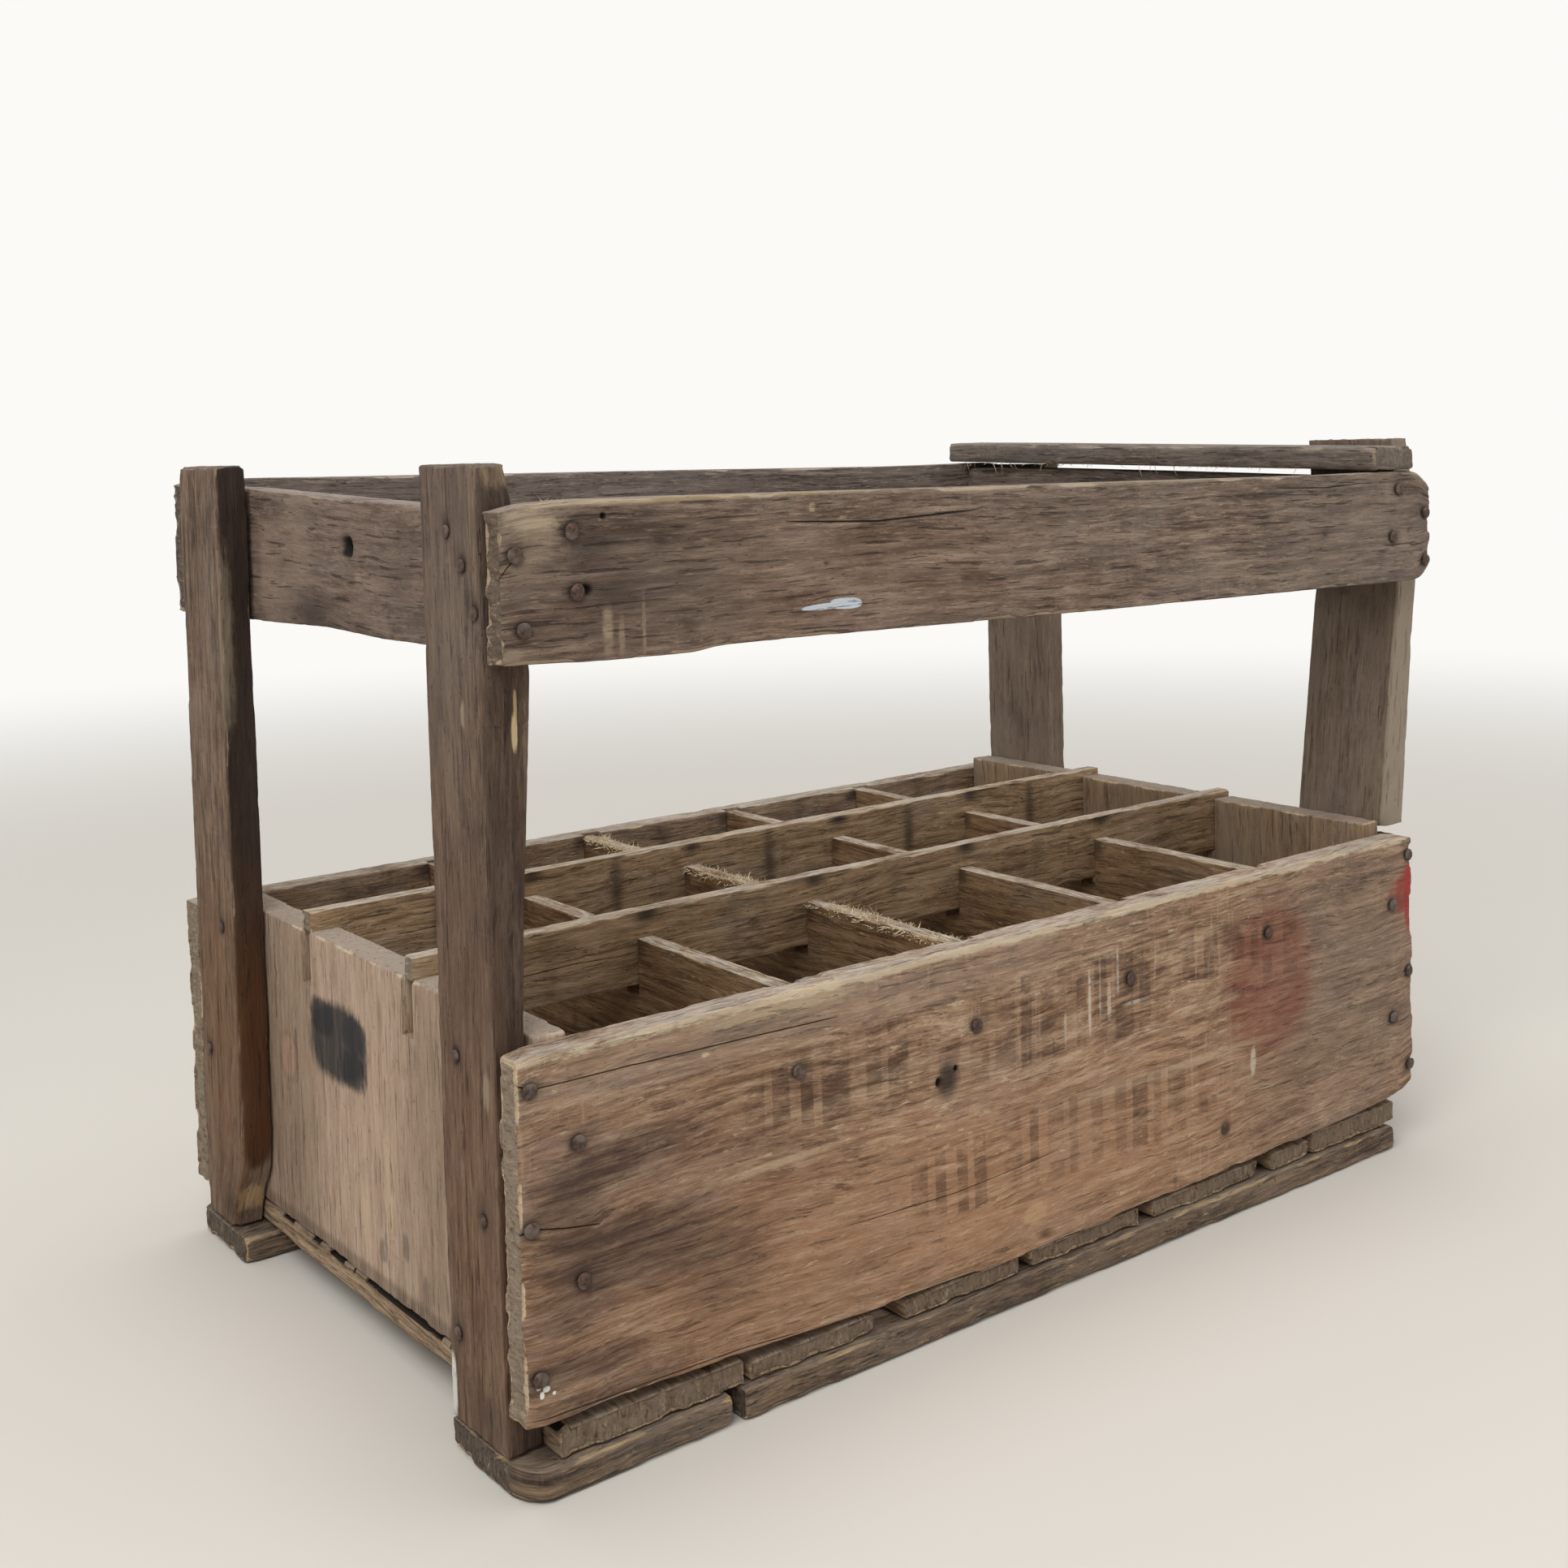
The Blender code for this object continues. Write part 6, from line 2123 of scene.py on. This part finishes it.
def rail_patches() -> tuple[tuple[Patch, ...], tuple[Patch, ...]]:
    """Scrapes, a smear of paint and pale wood on the front rail, and stains and the painted shade of a screw hole on
    the left cross rail.

    Returns:
        Two lists of patches in painting order.
    """
    front = on_front(1, 5, [
        (150, 330, 120, 24, "7d6048", 0.30, 0.5, 0.8, 0.3),
        (60, 340, 50, 24, "3b2c25", 0.50, 1.1, 0.7, 0.3),
        (500, 335, 70, 40, "70685f", 0.40, 0.4, 0.8, 0.2),
        (15, 362, 10, 4, "c3b296", 0.75, 2.8, 0.5, 0.95),
        (18, 355, 7, 7, "b09d82", 0.65, 2.6, 0.6, 0.95),
        (10, 347, 6, 5, "a4937c", 0.55, 2.4, 0.6, 0.95),
        (6, 312, 4, 5, "a4937c", 0.60, 2.2, 0.3, 0.4),
        (47, 320, 2.2, 9, "b5a185", 0.70, 1.5, 0.4, 0.9),
        (53, 317, 1.3, 7, "a5927a", 0.60, 1.5, 0.4, 0.9),
        (63, 320, 0.8, 12, "a5927a", 0.60, 1.5, 0.4, 0.9),
        (145, 361, 1.8, 1.8, "c0a98b", 0.70, 1.6, 0.3, 0.3),
        (110, 367.6, 120, 1.6, "c2ab84", 0.65, 1.2, 0.5, 0.4),
        (400, 364.6, 160, 1.4, "b09c80", 0.55, 1.2, 0.5, 0.4),
        (151.5, 320.7, 13, 1.25, "c9d1da", 1.0, 0.25, 0.06, 0.0, 0.03),
        (161.5, 321.2, 8.5, 2.3, "c9d1da", 1.0, 0.25, 0.06, 0.0, -0.03)])
    # The first patch is painted shade filling the old screw hole.
    cross = (Patch((22, 168, 347.1), (12, 5.3, 4.7), "120d0a", 0.97, 0.25, 0.12, 0.0),
             *on_left(16, 6, [(158, 334, 3, 3, "a38f7a", 0.50, 1.0, 0.4, 0.2),
                              (118, 340, 12, 28, "5c4d42", 0.45, 1.0, 0.7, 0.2),
                              (222, 345, 16, 26, "94806d", 0.40, 1.0, 0.7, 0.2),
                              (252, 330, 12, 24, "a08a76", 0.40, 1.2, 0.7, 0.2),
                              (200, 318, 34, 10, "3f3129", 0.50, 1.0, 0.6, 0.2)]))
    return front, cross


def wood_finishes() -> dict[str, WoodFinish]:
    """The finishes by the name of what wears them.

    Each row holds a name, the colours deep, body, pale, grey and fresh, and the other fields.

    Returns:
        One finish for each kind of timber.
    """
    # The board's pale colour for faces that look up, at full strength, is dust and also painted top light.
    board = dict(end="8f8170", top_dust_and_light="c3b6a5", top_dust_and_light_amount=1.0)
    panel = dict(end="9b9085", top_dust_and_light="a89a8b", grime=0.5, checks=0.25, wave=0.4, short=2.0, endgrain=0.4)
    post = dict(end="6c6258", top_dust_and_light="8a7e72", greyness=0.4, endgrain=0.6, short=2.4)
    left_post = post | dict(wear=0.6, checks=0.45, wave=0.4)
    rail = dict(end="5c5147", wave=0.5)
    # The grid's pale colour for faces that look up, at full strength, is dust and also painted top light.
    grid = dict(end="85796c", top_dust_and_light="c9bba8", top_dust_and_light_amount=1.0)
    panel_patches, near, far = side_patches()
    front_rail, cross_rail = rail_patches()
    # Painted light: this pale patch lightens the near right post's -Y face.
    edge = (Patch((560, 14.4, 272), (27, 2.4, 118), "b3a592", 0.55, 0.5, 0.2, 0.3),)
    # Painted shade: the dividers darken low down, deep in the cells.
    painted_cell_shade = (Patch((280, 165, 62), (300, 200, 66), "3a2210", 0.60, 0.3, 0.8, 0.2),)
    ghosts = (GhostRow((281, 0, 126), (184, 6, 22), (15.5, 60), 3.4, 0.85),
              GhostRow((285, 0, 68), (101, 6, 19), (14.0, 60), 3.6, 0.7))
    rows = (
        ("front_board", "674d39 a07d61 c4aa8e 96857a cdb899", board | dict(
            greyness=0.32, grime=0.65, checks=0.25, short=2.2, endgrain=0.85, wear=0.95, scuffs=0.4, flecks=0.8,
            wave=1.1, patches=board_patches(), ghosts=ghosts)),
        ("side_board", "5c4836 927559 b59b7b 8e8175 cdb899", board | dict(
            greyness=0.5, checks=0.35, short=2.0, endgrain=0.8)),
        ("left_panel", "9d866e bba18b cbb6a0 a5978b c5b49c", panel | dict(
            soot="78634f", greyness=0.25, patches=panel_patches, flecks=0.35)),
        ("end_panel", "846d52 957b60 a58d70 8d8277 cdb48e", panel | dict(greyness=0.35, flecks=0.3)),
        ("near_post", "443328 6d5645 8f7963 776a60 84725e", left_post | dict(patches=near)),
        ("far_post", "49382b 7b6350 9b846e 80736a 8f7c66", left_post | dict(patches=far)),
        ("right_post", "665648 776656 877563 7d7268 8a7b68", post | dict(
            grime=0.4, wear=0.45, wave=0.3, checks=0.2, scuffs=0.12, flecks=0.2, patches=edge)),
        ("front_rail", "4a3b2f 7d685a a6917d 82776e b5a287", dict(
            end="6d5f50", top_dust_and_light="a39585", greyness=0.45, checks=0.6, short=2.0, wave=0.6, patches=front_rail)),
        ("back_rail", "3f342c 70625a 95877b 786f69 b6a58c", rail | dict(
            top_dust_and_light="b0a293", greyness=0.55, grime=0.5, wear=1.1)),
        ("rail", "3f342c 6c5e55 918275 736b65 a08e76", rail | dict(top_dust_and_light="9c8d7e", greyness=0.5, wear=0.8)),
        ("cross_rail", "5d4c42 7b675b 94806e 7f756d a8957a", rail | dict(
            top_dust_and_light="a09184", greyness=0.45, wear=0.6, short=2.4, wave=0.8, patches=cross_rail)),
        ("plank", "40362f 6e6158 918275 777069 a5937a", dict(
            end="7a6e62", top_dust_and_light="978c80", greyness=0.55, wear=0.7, wave=0.4, endgrain=0.45)),
        ("divider", "5b4127 8c6c4b ab8d68 8a7d70 c6b28f", grid | dict(
            soot="402c1a", greyness=0.25, grime=0.5, wear=0.9, checks=0.4, short=1.6, patches=painted_cell_shade)),
        ("strip", "6d553a a08261 bda280 9e9183 cfbd9f", grid | dict(
            soot="4c3925", greyness=0.3, grime=0.55, checks=0.5, short=1.5)),
        ("slat", "524029 947b60 bba385 8c8073 b7a488", dict(
            end="7c6b5b", greyness=0.35, wear=0.35, endgrain=0.85, checks=0.5)),
        ("runner", "33281f 6d5a49 9c8164 746b62 c2a881", dict(
            end="5c5147", top_dust_and_light="a38f77", greyness=0.45, wear=0.75)),
        ("fibre", "c9b592 d8c5a3 e6d6b8 cdbfa6 cdb48e", dict(end="d8c5a3", greyness=0.1, grime=0.0, checks=0.0)),
    )
    return {name: WoodFinish(f"{name}_wood", *colours.split(), **looks) for name, colours, looks in rows}


def main() -> None:
    """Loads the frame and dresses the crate."""
    logging.basicConfig(level=logging.INFO, format="%(name)s %(message)s")
    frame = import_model()
    low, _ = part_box("front_side_board")
    corner = np.array([low.x, low.y, 0.0])
    groups = WoodGroups()
    woods = {name: finish.build(groups, corner) for name, finish in wood_finishes().items()}
    crate = Crate(corner, woods, NailMaker(IronFinish().build()), sorted(frame["nodes"]))
    for part in (SideBoards, EndPanels, CornerPosts, CarryingFrame, BottleGrid, CrateFloor, Frays, NailSet):
        part(crate).build()
    Studio().build(corner)
    bpy.context.view_layer.update()


if __name__ == "__main__":
    main()
